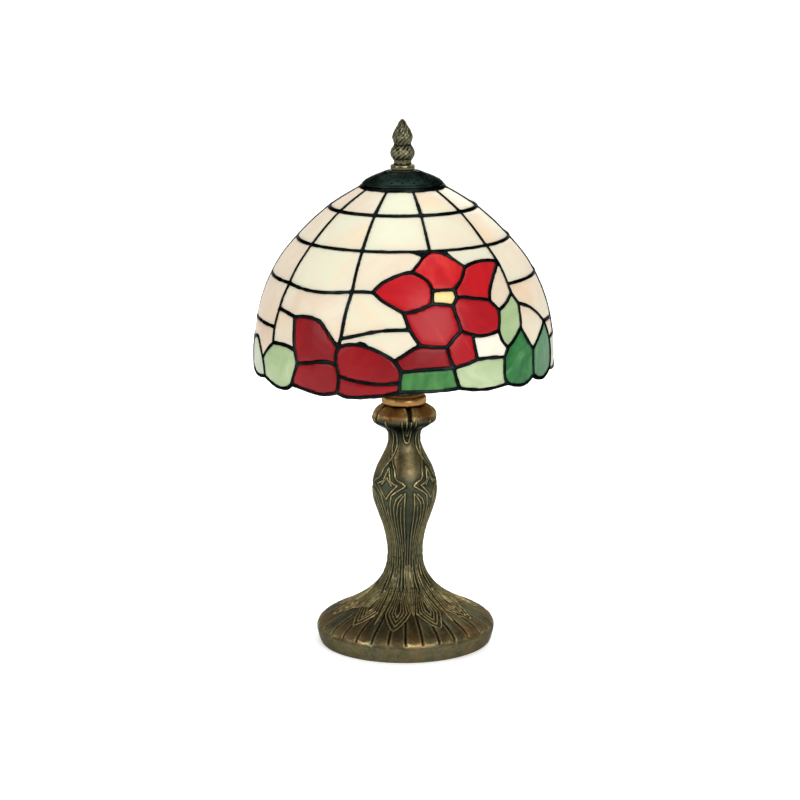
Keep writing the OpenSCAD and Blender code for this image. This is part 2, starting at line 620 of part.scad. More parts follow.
module heat_cap() {
    color(patina) difference() {
        union() {
            rotate_extrude() polygon(concat([[0, cap_plate_z + cap_plate_t]], back(cap_side),
                [for (p = cap_side) if (p[0] > 12) [p[0] - cap_wall * 0.4, p[1] - cap_wall]],
                [[11, cap_plate_z], [0, cap_plate_z]]));
            ring(cap_rim_r - 0.2, cap_rim_z, cap_rim_wire);
        }
        translate([0, 0, cap_plate_z - 1]) cylinder(r = stud_r + slide_fit, h = 4);
        for (v = vent_rings, i = [0:vent_count - 1])
            rotate([0, 0, (i + v[1]) * 360 / vent_count]) translate([v[0], 0, 309])
                cylinder(r = vent_r, h = 14, $fn = 16);
    }
}

// Finial
module finial_washer() {
    color(brass) tube(9.2, stud_r + slide_fit, washer_z, washer_z + washer_t);
}

module finial() {
    collar = [[0, finial_z], [8.1, finial_z], [8.4, 323.4], [8, 325.3], [5.9, 326]];
    bulb = [[5.8, 328.8], [6.9, 330.2], [8, 333], [8.1, 335], [6.9, 338]];
    bud = [[5.7, 340.6], [6.8, 343.4], [6.8, 344.6], [5.1, 348.5], [4, 351], [2.4, 354],
        [1, 354.8], [0, finial_tip]];
    color("#8c7f4c") difference() {
        rotate_extrude() polygon(concat(collar, bulb, bud));
        translate([0, 0, finial_z - 1]) cylinder(r = stud_r + 0.1, h = stud_top - finial_z + 2);
    }
}

// Shade metalwork
crown_r = dome_r(crown_z);

module crown_ring() {
    color(brass) rotate_extrude()
        polygon([[21.2, crown_ring_z], [crown_r - 1.6, crown_ring_z], [crown_r - 1.2, crown_z],
            [crown_r - 2.6, crown_z], [crown_r - 3, crown_ring_z + 1.2],
            [21.2, crown_ring_z + 1.2]]);
}

module ring_seams() {
    seam_depth = glass_t / 2;
    color(patina) for (z = [ring_1_z, ring_2_z])
        let (n = dome_normal(z))
            ring(dome_r(z) - seam_depth * n[0], z - seam_depth * n[1], glass_t / 2 + 0.5);
    color(patina) ring(crown_r - 0.4, crown_z - 0.5, 1.4);
}

module rib_seams() {
    color(patina) for (i = [0:ribs - 1])
        bead([for (z = [crown_z - 1, 304.5, ring_1_z, 288, ring_2_z + 1]) [first_rib + i * rib_step, z]],
            seam_w);
}

module flower_seams() {
    color(patina) both_halves() {
        for (line = seam_lines) bead(line, seam_w);
        for (p = blob_points) solder_blob(p);
    }
}

module rim_wire() {
    color(patina) bead(concat(half_rim, shifted(half_rim, 180)), seam_w, closed = true);
}

// Glass
module tiles_row_1() {
    color(cream) tile_ring(ring_1_z + 0.6, crown_z - 0.5, 1);
}

module tiles_row_2() {
    color(cream) tile_ring(ring_2_z + 0.6, ring_1_z - 0.6, 0.6);
}

module tiles_row_3() {
    color(cream) both_halves() {
        glass([ring_2_far, rib_a_mid, back(ring_3_far), shifted(back(rib_e_mid), -180)],
            [[-76, 266]]);
        glass([ring_2_ab, rib_b_mid, back(ring_3_ab), back(rib_a_mid)], [[-40, 266]]);
        glass([ring_2_d, rib_e_mid, back(ring_3_d), back(rib_d_mid), back(rib_d_top)], [[68, 266]]);
    }
}

module field_beside_top_petal() {
    color(cream) both_halves() {
        glass([ring_2_left, back(p2_left), back(p1_top), back(ring_3_b), back(rib_b_mid)],
            [[-12, 268]]);
        glass([ring_2_right, rib_d_top, back(p3_top), back(p2_right)], [[38, 274.6]]);
    }
}

module field_upper() {
    color(cream) both_halves() {
        glass([ring_3_far, rib_a_low, rib_a_foot, back(ring_4_left), shifted(back(rib_e_low), -180)],
            [[-76, 240]]);
        glass([ring_3_ab, rib_b_low, rib_b_end, back(q1_top), left_line, back(rib_a_low)],
            [[-47, 245], [-29, 240]]);
        glass([ring_3_d, rib_e_low, back(ring_4_right), back(right_line), back(g3_tip),
            back(rib_d_end)], [[61, 246], [76, 240]]);
    }
}

module field_middle() {
    color(cream) both_halves() {
        glass([ring_3_b, back(p1_field), back(p5_left), stem_line, back(rib_b_low)], [[-12.5, 240]]);
        glass([rib_d_mid, rib_d_end, back(g3_left), back(p4_field), back(p3_right)], [[45, 251]]);
        glass([right_line, back(g5_left), back(g4_right), back(g3_right)], [[59, 228]]);
        glass([back(left_line), back(q1_left), back(g8_top), back(rib_a_end), back(rib_a_foot)],
            [[-53, 227]]);
    }
}

module field_lower() {
    color(cream) both_halves() {
        glass([back(stem_line), back(p5_foot), back(r1_top), back(q3_top), back(rib_b_end)],
            [[-20, 225], [-4, 224.5]]);
        glass([ring_4_right, rib_e_foot, back(g6_top), back(g5_right)], [[79.5, 219]]);
        glass([ring_4_left, rib_a_end, back(g8_left), back(g7_top), shifted(back(g6_far), -180),
            shifted(back(rib_e_foot), -180)], [[-84, 219.5], [-66, 218]]);
    }
}

module upper_left_petal() {
    color(red_glass) both_halves() glass([p1_top, p1_p2, p1_heart, p1_p5, p1_field], [[1, 254]]);
}

module top_petal() {
    color(red_glass) both_halves()
        glass([p2_left, p2_tip, p2_right, p2_p3, heart_top, back(p1_p2)], [[17, 267]]);
}

module right_petal() {
    color(red_glass) both_halves() glass([p3_top, p3_right, p3_p4, p3_heart, back(p2_p3)], [[33, 259]]);
}

module lower_right_petal() {
    color(red_glass) both_halves()
        glass([back(p3_p4), p4_field, p4_g3, p4_white, p4_p6, p4_p5, back(heart_p4)], [[30.5, 238]]);
}

module lower_petal() {
    color(red_glass) both_halves()
        glass([back(p1_p5), back(heart_p5), back(p4_p5), p5_p6, p5_r1, p5_foot, p5_left],
            [[11.5, 233]]);
}

module flower_heart() {
    color(yellow_glass) both_halves()
        glass([back(heart_top), back(p3_heart), heart_p4, heart_p5, back(p1_heart)], [[17, 251]]);
}

module small_red_petal() {
    color(red_glass) both_halves() glass([back(p5_p6), back(p4_p6), p6_white, p6_g2, p6_r1],
        [[22.5, 217]]);
}

module white_diamond() {
    color(white_glass) both_halves()
        glass([back(p4_white), white_g3, white_g4, white_g2, back(p6_white)], [[34, 219]]);
}

module half_red_petal() {
    color(deep_red_glass) both_halves() glass([r1_top, back(p5_r1), back(p6_r1), r1_g1, r1_q3],
        [[8, 213.5]]);
}

module low_dark_leaf() {
    color(dark_green_glass) both_halves() glass([back(r1_g1), g1_g2, g1_rim, g1_q4, g1_q3],
        [[9.5, 200]]);
}

module low_light_leaf() {
    color(light_green_glass) both_halves()
        glass([back(p6_g2), back(white_g2), g2_g4, g2_rim, back(g1_g2)], [[30.5, 201]]);
}

module tall_light_leaf() {
    color(light_green_glass) both_halves()
        glass([g3_left, g3_tip, g3_right, g3_g4, back(white_g3), back(p4_g3)], [[46.5, 231]]);
}

module dark_leaf() {
    color(dark_green_glass) both_halves()
        glass([back(g3_g4), g4_right, g4_g5, g4_rim, back(g2_g4), back(white_g4)], [[49, 205]]);
}

module green_leaf() {
    color(mid_green_glass) both_halves() glass([g5_left, g5_right, g5_g6, g5_rim, back(g4_g5)],
        [[66, 205]]);
}

module pale_leaf_right() {
    color(pale_green_glass) both_halves() glass([g6_top, g6_far, g6_g7, g6_rim, back(g5_g6)],
        [[84, 203]]);
}

module pale_leaf_left() {
    color(pale_green_glass) both_halves() glass([shifted(back(g6_g7), -180), g7_top, g7_g8, g7_rim],
        [[-76, 202]]);
}

module light_leaf() {
    color(light_green_glass) both_halves() glass([g8_left, g8_top, g8_q1, g8_q2, g8_rim, back(g7_g8)],
        [[-55.5, 203]]);
}

module side_petal_upper() {
    color(deep_red_glass) both_halves() glass([q1_top, q1_q3, q1_q2, back(g8_q1), q1_left],
        [[-38, 222]]);
}

module side_petal_lower() {
    color(deep_red_glass) both_halves() glass([back(q1_q2), q2_q3, q2_q4, q2_rim, back(g8_q2)],
        [[-35, 199]]);
}

module side_petal_right() {
    color(deep_red_glass) both_halves()
        glass([q3_top, back(r1_q3), back(g1_q3), q3_q4, back(q2_q3), back(q1_q3)], [[-14, 210]]);
}

module side_petal_strip() {
    color(deep_red_glass) both_halves() glass([back(q3_q4), back(g1_q4), q4_rim, back(q2_q4)],
        [[-13, 194]]);
}

cast_base();
felt_pad();
weight_disc();
lamp_pipe();
bottom_washer();
bottom_nut();
cord_bush();
neck_ring();
harp();
harp_nut();
harp_stud();
socket_cap();
socket_shell();
socket_screw_shell();
socket_insulator();
socket_contact();
terminal_screws();
bulb_contact();
bulb_screw_cap();
bulb_glass();
bulb_stem();
bulb_filament();
shade_wheel();
cap_spacer();
heat_cap();
finial_washer();
finial();
crown_ring();
ring_seams();
rib_seams();
flower_seams();
rim_wire();
tiles_row_1();
tiles_row_2();
tiles_row_3();
field_beside_top_petal();
field_upper();
field_middle();
field_lower();
upper_left_petal();
top_petal();
right_petal();
lower_right_petal();
lower_petal();
flower_heart();
small_red_petal();
white_diamond();
half_red_petal();
low_dark_leaf();
low_light_leaf();
tall_light_leaf();
dark_leaf();
green_leaf();
pale_leaf_right();
pale_leaf_left();
light_leaf();
side_petal_upper();
side_petal_lower();
side_petal_right();
side_petal_strip();
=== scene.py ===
"""Stained glass table lamp: the looks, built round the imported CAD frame."""
import json
import math
import random

import bmesh
import bpy
import numpy as np
from mathutils import Matrix, Vector
from mathutils.bvhtree import BVHTree
from mathutils.geometry import delaunay_2d_cdt


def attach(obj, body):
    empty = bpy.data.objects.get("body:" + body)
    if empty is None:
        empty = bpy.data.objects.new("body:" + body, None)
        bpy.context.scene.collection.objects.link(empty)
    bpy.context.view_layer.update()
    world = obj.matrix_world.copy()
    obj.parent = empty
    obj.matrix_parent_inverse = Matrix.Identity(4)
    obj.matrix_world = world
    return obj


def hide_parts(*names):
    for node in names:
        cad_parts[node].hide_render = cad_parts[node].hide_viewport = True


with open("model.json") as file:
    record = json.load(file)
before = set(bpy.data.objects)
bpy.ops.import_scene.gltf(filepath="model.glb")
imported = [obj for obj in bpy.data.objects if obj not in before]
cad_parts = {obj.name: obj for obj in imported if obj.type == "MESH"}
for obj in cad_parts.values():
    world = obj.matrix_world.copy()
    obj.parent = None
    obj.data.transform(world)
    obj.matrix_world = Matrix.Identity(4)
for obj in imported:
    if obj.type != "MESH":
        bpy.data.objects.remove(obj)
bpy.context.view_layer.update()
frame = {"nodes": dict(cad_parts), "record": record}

MM = 0.001
random.seed(11)


# ---------------------------------------------------------------- mesh helpers

def new_object(name, data):
    made = bpy.data.objects.new(name, data)
    bpy.context.scene.collection.objects.link(made)
    return made


def evaluated(piece):
    """A mesh with the piece's modifiers applied."""
    graph = bpy.context.evaluated_depsgraph_get()
    return bpy.data.meshes.new_from_object(piece.evaluated_get(graph))


def add_piece(name, mesh, material, body, replaced):
    """Puts a mesh in the scene as a piece of the lamp."""
    mesh.shade_smooth()
    mesh.materials.append(material)
    piece = new_object(name, mesh)
    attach(piece, body)
    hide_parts(*replaced)


def mesh_from(name, points, faces):
    mesh = bpy.data.meshes.new(name)
    mesh.from_pydata([tuple(p) for p in points], [], [tuple(int(i) for i in f) for f in faces])
    mesh.validate()
    mesh.update()
    return mesh


def grid_faces(rows, cols):
    """Quads of a grid that wraps round in its columns."""
    faces = []
    for a in range(0, (rows - 1) * cols, cols):
        for j in range(cols):
            k = (j + 1) % cols
            faces.append((a + j, a + k, a + cols + k, a + cols + j))
    return faces


def set_colours(mesh, name, values):
    """Stores a colour for each point, for the materials to read."""
    layer = mesh.color_attributes.new(name=name, type="FLOAT_COLOR", domain="POINT")
    flat = np.ones((len(mesh.vertices), 4), np.float32)
    flat[:, : values.shape[1]] = values
    layer.data.foreach_set("color", flat.ravel())


def curve_through(points, step, closed=False):
    """Points along a smooth curve through the given ones, about a step apart."""
    p = np.asarray(points, float)
    n = len(p)
    out = []
    spans = n if closed else n - 1
    for i in range(spans):
        if closed:
            a, b, c, d = p[(i - 1) % n], p[i], p[(i + 1) % n], p[(i + 2) % n]
        else:
            a, b, c, d = p[max(i - 1, 0)], p[i], p[i + 1], p[min(i + 2, n - 1)]
        count = max(1, int(round(np.linalg.norm(c - b) / step)))
        for t in np.arange(count) / count:
            out.append(0.5 * ((2 * b) + (c - a) * t + (2 * a - 5 * b + 4 * c - d) * t * t
                              + (3 * b - a - 3 * c + d) * t ** 3))
    if not closed:
        out.append(p[-1])
    return np.array(out)


def border(tris):
    """The edges, as pairs in their triangle's order, that only one triangle has."""
    edges = {(int(t[i]), int(t[(i + 1) % 3])) for t in tris for i in range(3)}
    return [(i, j) for i, j in edges if (j, i) not in edges]


def sideways(p):
    """Unit vectors across a closed outline at each of its points."""
    ahead = np.roll(p, -1, 0) - np.roll(p, 1, 0)
    ahead /= np.linalg.norm(ahead, axis=1)[:, None] + 1e-9
    return np.stack([ahead[:, 1], -ahead[:, 0]], -1)


def smooth_step(a, b, x):
    t = np.clip((x - a) / (b - a), 0, 1)
    return t * t * (3 - 2 * t)


# ---------------------------------------------------------------- node helpers

class Shader:
    """A small helper that builds a node material. An input takes a value or another node's
    output, and goes by its name or its number."""

    def __init__(self, name):
        self.material = bpy.data.materials.new(name)
        self.material.use_nodes = True
        self.tree = self.material.node_tree
        self.tree.nodes.clear()
        self.output = self.tree.nodes.new("ShaderNodeOutputMaterial")

    def add(self, kind, out, inputs, **settings):
        node = self.tree.nodes.new(kind)
        for key, value in settings.items():
            setattr(node, key, value)
        for key, value in inputs.items():
            if isinstance(value, bpy.types.NodeSocket):
                self.tree.links.new(value, node.inputs[key])
            else:
                node.inputs[key].default_value = value
        return node.outputs[out]

    def coords(self):
        return self.add("ShaderNodeTexCoord", "Object", {})

    def noise(self, vector, scale, detail=4.0, rough=0.55, distortion=0.0):
        return self.add("ShaderNodeTexNoise", "Fac", {
            "Vector": vector, "Scale": scale, "Detail": detail, "Roughness": rough,
            "Distortion": distortion})

    def ramp(self, fac, stops):
        colour = self.add("ShaderNodeValToRGB", "Color", {"Fac": fac})
        elements = colour.node.color_ramp.elements
        elements[0].position, elements[0].color = stops[0][0], (*stops[0][1], 1)
        elements[1].position, elements[1].color = stops[-1][0], (*stops[-1][1], 1)
        for place, tone in stops[1:-1]:
            elements.new(place).color = (*tone, 1)
        return colour

    def grey(self, fac, low, high, a=0.0, b=1.0):
        return self.add("ShaderNodeMapRange", "Result", {
            "Value": fac, "From Min": a, "From Max": b, "To Min": low, "To Max": high})

    def mix(self, fac, one, two):
        """Mixes a colour socket with a plain colour. A mix node's colour inputs are 6 and 7."""
        return self.add("ShaderNodeMix", 2, {0: fac, 6: one, 7: (*two, 1)}, data_type="RGBA")

    def plus(self, one, two):
        return self.add("ShaderNodeMath", "Value", {0: one, 1: two}, operation="ADD")

    def times(self, one, two):
        return self.add("ShaderNodeMath", "Value", {0: one, 1: two}, operation="MULTIPLY")

    def bump(self, height, strength, distance):
        return self.add("ShaderNodeBump", "Normal", {
            "Height": height, "Strength": strength, "Distance": distance})

    def attribute(self, name):
        """The red, green and blue of a mesh's colour attribute."""
        colour = self.add("ShaderNodeAttribute", "Color", {}, attribute_name=name)
        return self.add("ShaderNodeSeparateColor", 0, {"Color": colour}).node.outputs[:3]

    def face(self, inputs):
        return self.add("ShaderNodeBsdfPrincipled", "BSDF", inputs)

    def done(self, shader):
        self.tree.links.new(shader, self.output.inputs["Surface"])
        return self.material


def glass_material(name, stops, streak, painted_glow, mottle=None):
    """Opalescent sheet glass: wispy streaks of colour, a glossy rippled face and a painted glow, an
    emission that stands in for light from behind. The tint attribute gives each piece its own
    paleness, partly painted light, and streak direction."""
    s = Shader(name)
    # The tint's red is each piece's paleness: a random tone plus painted light, paler facing the
    # front and higher up.
    shade, turn, shift = s.attribute("tint")
    place = s.coords()
    spun = s.add("ShaderNodeVectorRotate", "Vector", {
        "Vector": place, "Axis": (0.4, -1.0, 0.3), "Angle": s.times(turn, math.pi)},
        rotation_type="AXIS_ANGLE")
    stretched = s.add("ShaderNodeMapping", "Vector", {"Vector": spun, "Scale": (1.0, 1.0, 0.28)})
    moved = s.add("ShaderNodeVectorMath", "Vector", {0: stretched, 1: shift}, operation="ADD")
    wisps = s.noise(moved, 70 * streak, 5, 0.6, 1.2)
    clouds = s.noise(moved, 24, 3, 0.5, 0.6)
    blend = s.plus(s.times(wisps, 0.6), s.times(clouds, 0.4))
    colour = s.ramp(s.plus(blend, s.grey(shade, -0.14, 0.14)), stops)
    if mottle:
        patches = s.noise(moved, 32, 2, 0.5, 0.4)
        colour = s.mix(s.grey(patches, 0.0, 0.6, 0.54, 0.74), colour, mottle)
    ripple = s.noise(place, 140, 2, 0.5, 0.3)
    waves = s.noise(place, 38, 2, 0.4, 0.0)
    # Painted glow: the emission stands in for light coming through the glass from behind.
    face = s.face({
        "Base Color": colour, "Emission Color": colour, "Emission Strength": painted_glow,
        "Roughness": 0.33, "IOR": 1.5, "Specular IOR Level": 0.28,
        "Normal": s.bump(s.plus(s.times(ripple, 0.3), waves), 0.35, 0.0009)})
    through = s.add("ShaderNodeBsdfTranslucent", "BSDF", {"Color": colour})
    return s.done(s.add("ShaderNodeMixShader", "Shader", {"Fac": 0.35, 1: face, 2: through}))


def metal_material(name, dark, mid, bright, rough=(0.3, 0.5), scale=220, edge=1.0, bump=0.15):
    """Worn metal: patches of tone and roughness over a fine grain. A low edge value is for dark
    patina, which doesn't brighten where it turns away."""
    s = Shader(name)
    place = s.coords()
    patches = s.noise(place, scale * 0.25, 5, 0.6, 0.5)
    grain = s.noise(place, scale * 4, 3, 0.6)
    return s.done(s.face({
        "Base Color": s.ramp(patches, [(0.3, dark), (0.52, mid), (0.74, bright)]),
        "Metallic": 1.0, "Specular Tint": (edge, edge, edge, 1),
        "Roughness": s.grey(patches, rough[0], rough[1], 0.3, 0.7),
        "Normal": s.bump(grain, bump, 0.0004)}))


PATINA_EDGE = 0.4


def relief_material(name, ground, recess, ridge, warm, rough):
    """Antique cast metal. The colour attribute says where the relief is rubbed bright, together
    with painted highlights, glints and sheen (red), where dark patina lies (green) and where the
    finish is coppery (blue)."""
    s = Shader(name)
    rubbed_and_sheen, hollow, copper = s.attribute("wear_and_sheen")
    place = s.coords()
    patches = s.noise(place, 95, 8, 0.68, 0.8)
    specks = s.noise(place, 420, 4, 0.7)
    tone = s.ramp(patches, [(0.28, tuple(0.55 * c for c in ground)), (0.5, ground),
                            (0.75, tuple(min(1, 1.7 * c) for c in ground))])
    tone = s.mix(s.times(copper, s.grey(patches, 0.45, 1.2, 0.3, 0.65)), tone, warm)
    wear_and_sheen = s.times(rubbed_and_sheen, s.grey(specks, 0.25, 1.25, 0.34, 0.62))
    tone = s.mix(hollow, s.mix(wear_and_sheen, tone, ridge), recess)
    rough_now = s.plus(s.grey(patches, rough - 0.1, rough + 0.12, 0.3, 0.7), s.times(wear_and_sheen, -0.1))
    height = s.plus(specks, s.times(patches, 0.5))
    return s.done(s.face({
        "Base Color": tone, "Metallic": 0.9, "Roughness": rough_now,
        "Specular Tint": (PATINA_EDGE, PATINA_EDGE, PATINA_EDGE, 1),
        "Normal": s.bump(height, 0.25, 0.0003)}))


def plain_material(name, low, high, rough, scale=300, bump=0.3, metallic=0.0):
    """A matt or satin surface with a fine grain: felt, iron and moulded plastic."""
    s = Shader(name)
    grain = s.noise(s.coords(), scale, 5, 0.65)
    return s.done(s.face({
        "Base Color": s.ramp(grain, [(0.3, low), (0.7, high)]), "Metallic": metallic,
        "Roughness": s.grey(grain, rough - 0.06, rough + 0.06, 0.3, 0.7),
        "Normal": s.bump(grain, bump, 0.0004)}))


# ---------------------------------------------------------------- materials

CREAM = [(0.26, (0.73, 0.57, 0.43)), (0.42, (0.77, 0.66, 0.52)), (0.56, (0.78, 0.72, 0.58)),
         (0.72, (0.76, 0.77, 0.61))]
RED = [(0.28, (0.33, 0.004, 0.008)), (0.48, (0.46, 0.006, 0.012)), (0.66, (0.55, 0.009, 0.015)),
       (0.82, (0.68, 0.040, 0.032))]
DEEP_RED = [(0.28, (0.16, 0.002, 0.005)), (0.50, (0.26, 0.003, 0.007)),
            (0.68, (0.33, 0.006, 0.010)), (0.84, (0.40, 0.015, 0.015))]

# Each sheet: colours along its wisps, how fine they are, its painted glow (light from behind) and a
# mottle colour
SHEETS = {
    "cream_glass": (CREAM, 0.7, 0.04, (0.86, 0.63, 0.40)),
    "red_glass": (RED, 0.8, 0.10),
    "deep_red_glass": (DEEP_RED, 0.8, 0.04),
    "yellow_glass": ([
        (0.3, (0.80, 0.58, 0.20)), (0.55, (0.88, 0.70, 0.30)),
        (0.75, (0.90, 0.78, 0.46))], 1, 0.12),
    "white_glass": ([
        (0.3, (0.84, 0.73, 0.58)), (0.5, (0.88, 0.82, 0.71)), (0.75, (0.90, 0.88, 0.80))], 1, 0.1),
    "dark_green_glass": ([
        (0.28, (0.006, 0.070, 0.018)), (0.46, (0.012, 0.125, 0.030)), (0.60, (0.035, 0.21, 0.055)),
        (0.78, (0.15, 0.40, 0.14))], 1.1, 0.04),
    "mid_green_glass": ([
        (0.28, (0.026, 0.12, 0.045)), (0.48, (0.048, 0.18, 0.070)), (0.64, (0.10, 0.27, 0.12)),
        (0.80, (0.24, 0.42, 0.24))], 1.0, 0.04),
    "light_green_glass": ([
        (0.28, (0.34, 0.46, 0.22)), (0.48, (0.42, 0.54, 0.29)), (0.64, (0.50, 0.61, 0.37)),
        (0.80, (0.62, 0.70, 0.48))], 0.9, 0.04),
    "pale_green_glass": ([
        (0.28, (0.42, 0.50, 0.34)), (0.50, (0.53, 0.60, 0.43)), (0.66, (0.62, 0.67, 0.51)),
        (0.80, (0.72, 0.74, 0.60))], 0.9, 0.06),
    "low_petal_glass": ([
        (0.28, (0.26, 0.003, 0.007)), (0.48, (0.38, 0.005, 0.011)), (0.66, (0.45, 0.008, 0.015)),
        (0.82, (0.56, 0.030, 0.028))], 0.8, 0.05),
    "streaky_leaf_glass": ([
        (0.28, (0.012, 0.12, 0.026)), (0.46, (0.040, 0.19, 0.045)), (0.60, (0.085, 0.27, 0.075)),
        (0.78, (0.26, 0.46, 0.19))], 1.2, 0.04),
}
GLASS = {name: glass_material(name, *spec) for name, spec in SHEETS.items()}
SHEET_FOR = {"low_dark_leaf": "streaky_leaf_glass", "lower_petal": "low_petal_glass",
             "lower_right_petal": "low_petal_glass", "small_red_petal": "low_petal_glass"}
SOLDER = metal_material("black_patina_solder", (0.003, 0.005, 0.005), (0.006, 0.009, 0.009),
                        (0.020, 0.028, 0.027), (0.24, 0.40), 260, 0.35, 0.25)
CAP_METAL = metal_material("cap_patina", (0.008, 0.014, 0.012), (0.016, 0.026, 0.022),
                           (0.040, 0.055, 0.045), (0.26, 0.42), 200, 0.25, 0.3)
BRASS = metal_material("satin_brass", (0.36, 0.24, 0.09), (0.55, 0.39, 0.16), (0.70, 0.53, 0.25),
                       (0.28, 0.44), 200)
STEEL = metal_material("plated_steel", (0.42, 0.41, 0.38), (0.56, 0.55, 0.52), (0.66, 0.65, 0.62),
                       (0.26, 0.38), 200)
BRONZE = relief_material("antique_bronze", (0.048, 0.053, 0.031), (0.004, 0.006, 0.004),
                         (0.50, 0.40, 0.18), (0.21, 0.100, 0.032), 0.38)
FINIAL_METAL = relief_material("antique_brass", (0.105, 0.102, 0.056), (0.008, 0.011, 0.007),
                               (0.50, 0.47, 0.30), (0.20, 0.15, 0.06), 0.30)
GILT = relief_material("gilt_ring", (0.24, 0.145, 0.048), (0.015, 0.011, 0.006),
                       (0.66, 0.45, 0.17), (0.32, 0.15, 0.045), 0.32)
FELT = plain_material("felt", (0.012, 0.020, 0.013), (0.030, 0.046, 0.032), 0.92, 900, 0.8)
IRON = plain_material("raw_iron", (0.05, 0.05, 0.05), (0.12, 0.115, 0.11), 0.7, 260, 0.5, 0.8)
BLACK_PLASTIC = plain_material("black_plastic", (0.012, 0.012, 0.012), (0.024, 0.024, 0.024), 0.5)
PHENOLIC = plain_material("phenolic", (0.025, 0.014, 0.009), (0.05, 0.03, 0.02), 0.45)
FILAMENT = metal_material("filament", (0.6, 0.4, 0.2), (0.75, 0.52, 0.28), (0.85, 0.65, 0.4))


# ---------------------------------------------------------------- dome

def welded_parts(node):
    """The separate solids of a CAD node, as (points in mm, triangles)."""
    bm = bmesh.new()
    bm.from_mesh(frame["nodes"][node].data)
    bmesh.ops.remove_doubles(bm, verts=bm.verts, dist=0.02 * MM)
    bmesh.ops.triangulate(bm, faces=bm.faces)
    bm.verts.ensure_lookup_table()
    seen = set()
    parts = []
    for start in bm.verts:
        if start.index in seen:
            continue
        stack, group = [start], []
        seen.add(start.index)
        while stack:
            v = stack.pop()
            group.append(v)
            for e in v.link_edges:
                w = e.other_vert(v)
                if w.index not in seen:
                    seen.add(w.index)
                    stack.append(w)
        number = {v.index: i for i, v in enumerate(group)}
        faces = {f for v in group for f in v.link_faces}
        tris = [[number[v.index] for v in f.verts] for f in sorted(faces, key=lambda f: f.index)]
        parts.append((np.array([v.co / MM for v in group]), np.array(tris)))
    bm.free()
    return parts


DOME_CENTRE = np.array([0.0, 0.0, 215.0])  # mm; roughly, to tell the outside from the inside


def outer_loop(points, tris):
    """The edge of a glass solid's outer face, in order, as points in mm."""
    a, b, c = (points[tris[:, i]] for i in range(3))
    normal = np.cross(b - a, c - a)
    normal /= np.linalg.norm(normal, axis=1)[:, None] + 1e-12
    away = (a + b + c) / 3 - DOME_CENTRE
    away /= np.linalg.norm(away, axis=1)[:, None]
    outer = tris[(normal * away).sum(1) > 0.5]
    follow = dict(border(outer))
    start = max(follow, key=lambda k: points[k][2])
    loop, here = [start], follow[start]
    while here != start and len(loop) <= len(follow):
        loop.append(here)
        here = follow[here]
    return points[loop]


GLASS_NODES = [s["node"] for s in frame["record"]["subparts"] if s["material_slot"] in GLASS]
NODE_SLOT = {s["node"]: s["material_slot"] for s in frame["record"]["subparts"]}
LOOPS = {n: [outer_loop(p, t) for p, t in welded_parts(n)] for n in GLASS_NODES}


def dome_profile():
    """Radius of the glass's outer face against height, smoothed from the CAD outlines."""
    every = np.vstack([loop for loops in LOOPS.values() for loop in loops])
    r, z = np.hypot(every[:, 0], every[:, 1]), every[:, 2]
    heights = np.arange(z.min() - 4, z.max() + 6, 1.0)
    order = np.argsort(z)
    zs, rs = z[order], r[order]
    knots = np.round(zs, 1)
    levels = np.unique(knots)
    radii = np.array([np.median(rs[knots == k]) for k in levels])
    base = np.interp(heights, levels, radii)
    low, high = heights < levels[0], heights > levels[-1]
    base[low] = radii[0]
    slope = (radii[-1] - np.interp(levels[-1] - 4, levels, radii)) / 4
    base[high] = radii[-1] + slope * (heights[high] - levels[-1])
    kernel = np.exp(-0.5 * (np.arange(-6, 7) / 2.2) ** 2)
    kernel /= kernel.sum()
    soft = np.convolve(np.pad(base, 6, mode="reflect", reflect_type="odd"), kernel, mode="valid")
    return heights, soft


DOME_Z, DOME_R = dome_profile()
DOME_SLOPE = np.gradient(DOME_R, DOME_Z)
DOME_S = np.concatenate([[0], np.cumsum(np.hypot(np.diff(DOME_R), np.diff(DOME_Z)))])


def on_dome(angle, z, depth):
    """Points in mm from angles in degrees and heights, sunk below the outer face."""
    r = np.interp(z, DOME_Z, DOME_R)
    k = np.interp(z, DOME_Z, DOME_SLOPE)
    n = np.hypot(1, k)
    rr, zz = r - depth / n, z + depth * k / n
    a = np.radians(angle)
    return np.stack([rr * np.sin(a), -rr * np.cos(a), zz], -1)


class Patch:
    """Flat coordinates for one glass piece: mm along the dome from its middle."""

    def __init__(self, loop):
        angle = np.degrees(np.arctan2(loop[:, 0], -loop[:, 1]))
        self.middle = angle[0]
        angle = self.middle + (angle - self.middle + 180) % 360 - 180
        self.middle = (angle.max() + angle.min()) / 2
        z = loop[:, 2]
        self.scale = np.interp((z.max() + z.min()) / 2, DOME_Z, DOME_R) * math.pi / 180
        self.z_mid = (z.max() + z.min()) / 2
        self.flat = self.to_flat(angle, z)

    def to_flat(self, angle, z):
        return np.stack([(angle - self.middle) * self.scale, np.interp(z, DOME_Z, DOME_S)], -1)

    def to_dome(self, flat, depth):
        z = np.interp(flat[:, 1], DOME_S, DOME_Z)
        return on_dome(self.middle + flat[:, 0] / self.scale, z, depth)


def turn_angles(p):
    before, after = p - np.roll(p, 1, 0), np.roll(p, -1, 0) - p
    cross = before[:, 0] * after[:, 1] - before[:, 1] * after[:, 0]
    return np.degrees(np.arctan2(cross, (before * after).sum(1)))


def tidy_loop(p):
    """Drops points that are nearly on top of the next one."""
    keep = np.linalg.norm(np.roll(p, -1, 0) - p, axis=1) > 0.05
    return p[keep]


CORNER = 38  # degrees of turn that count as a corner


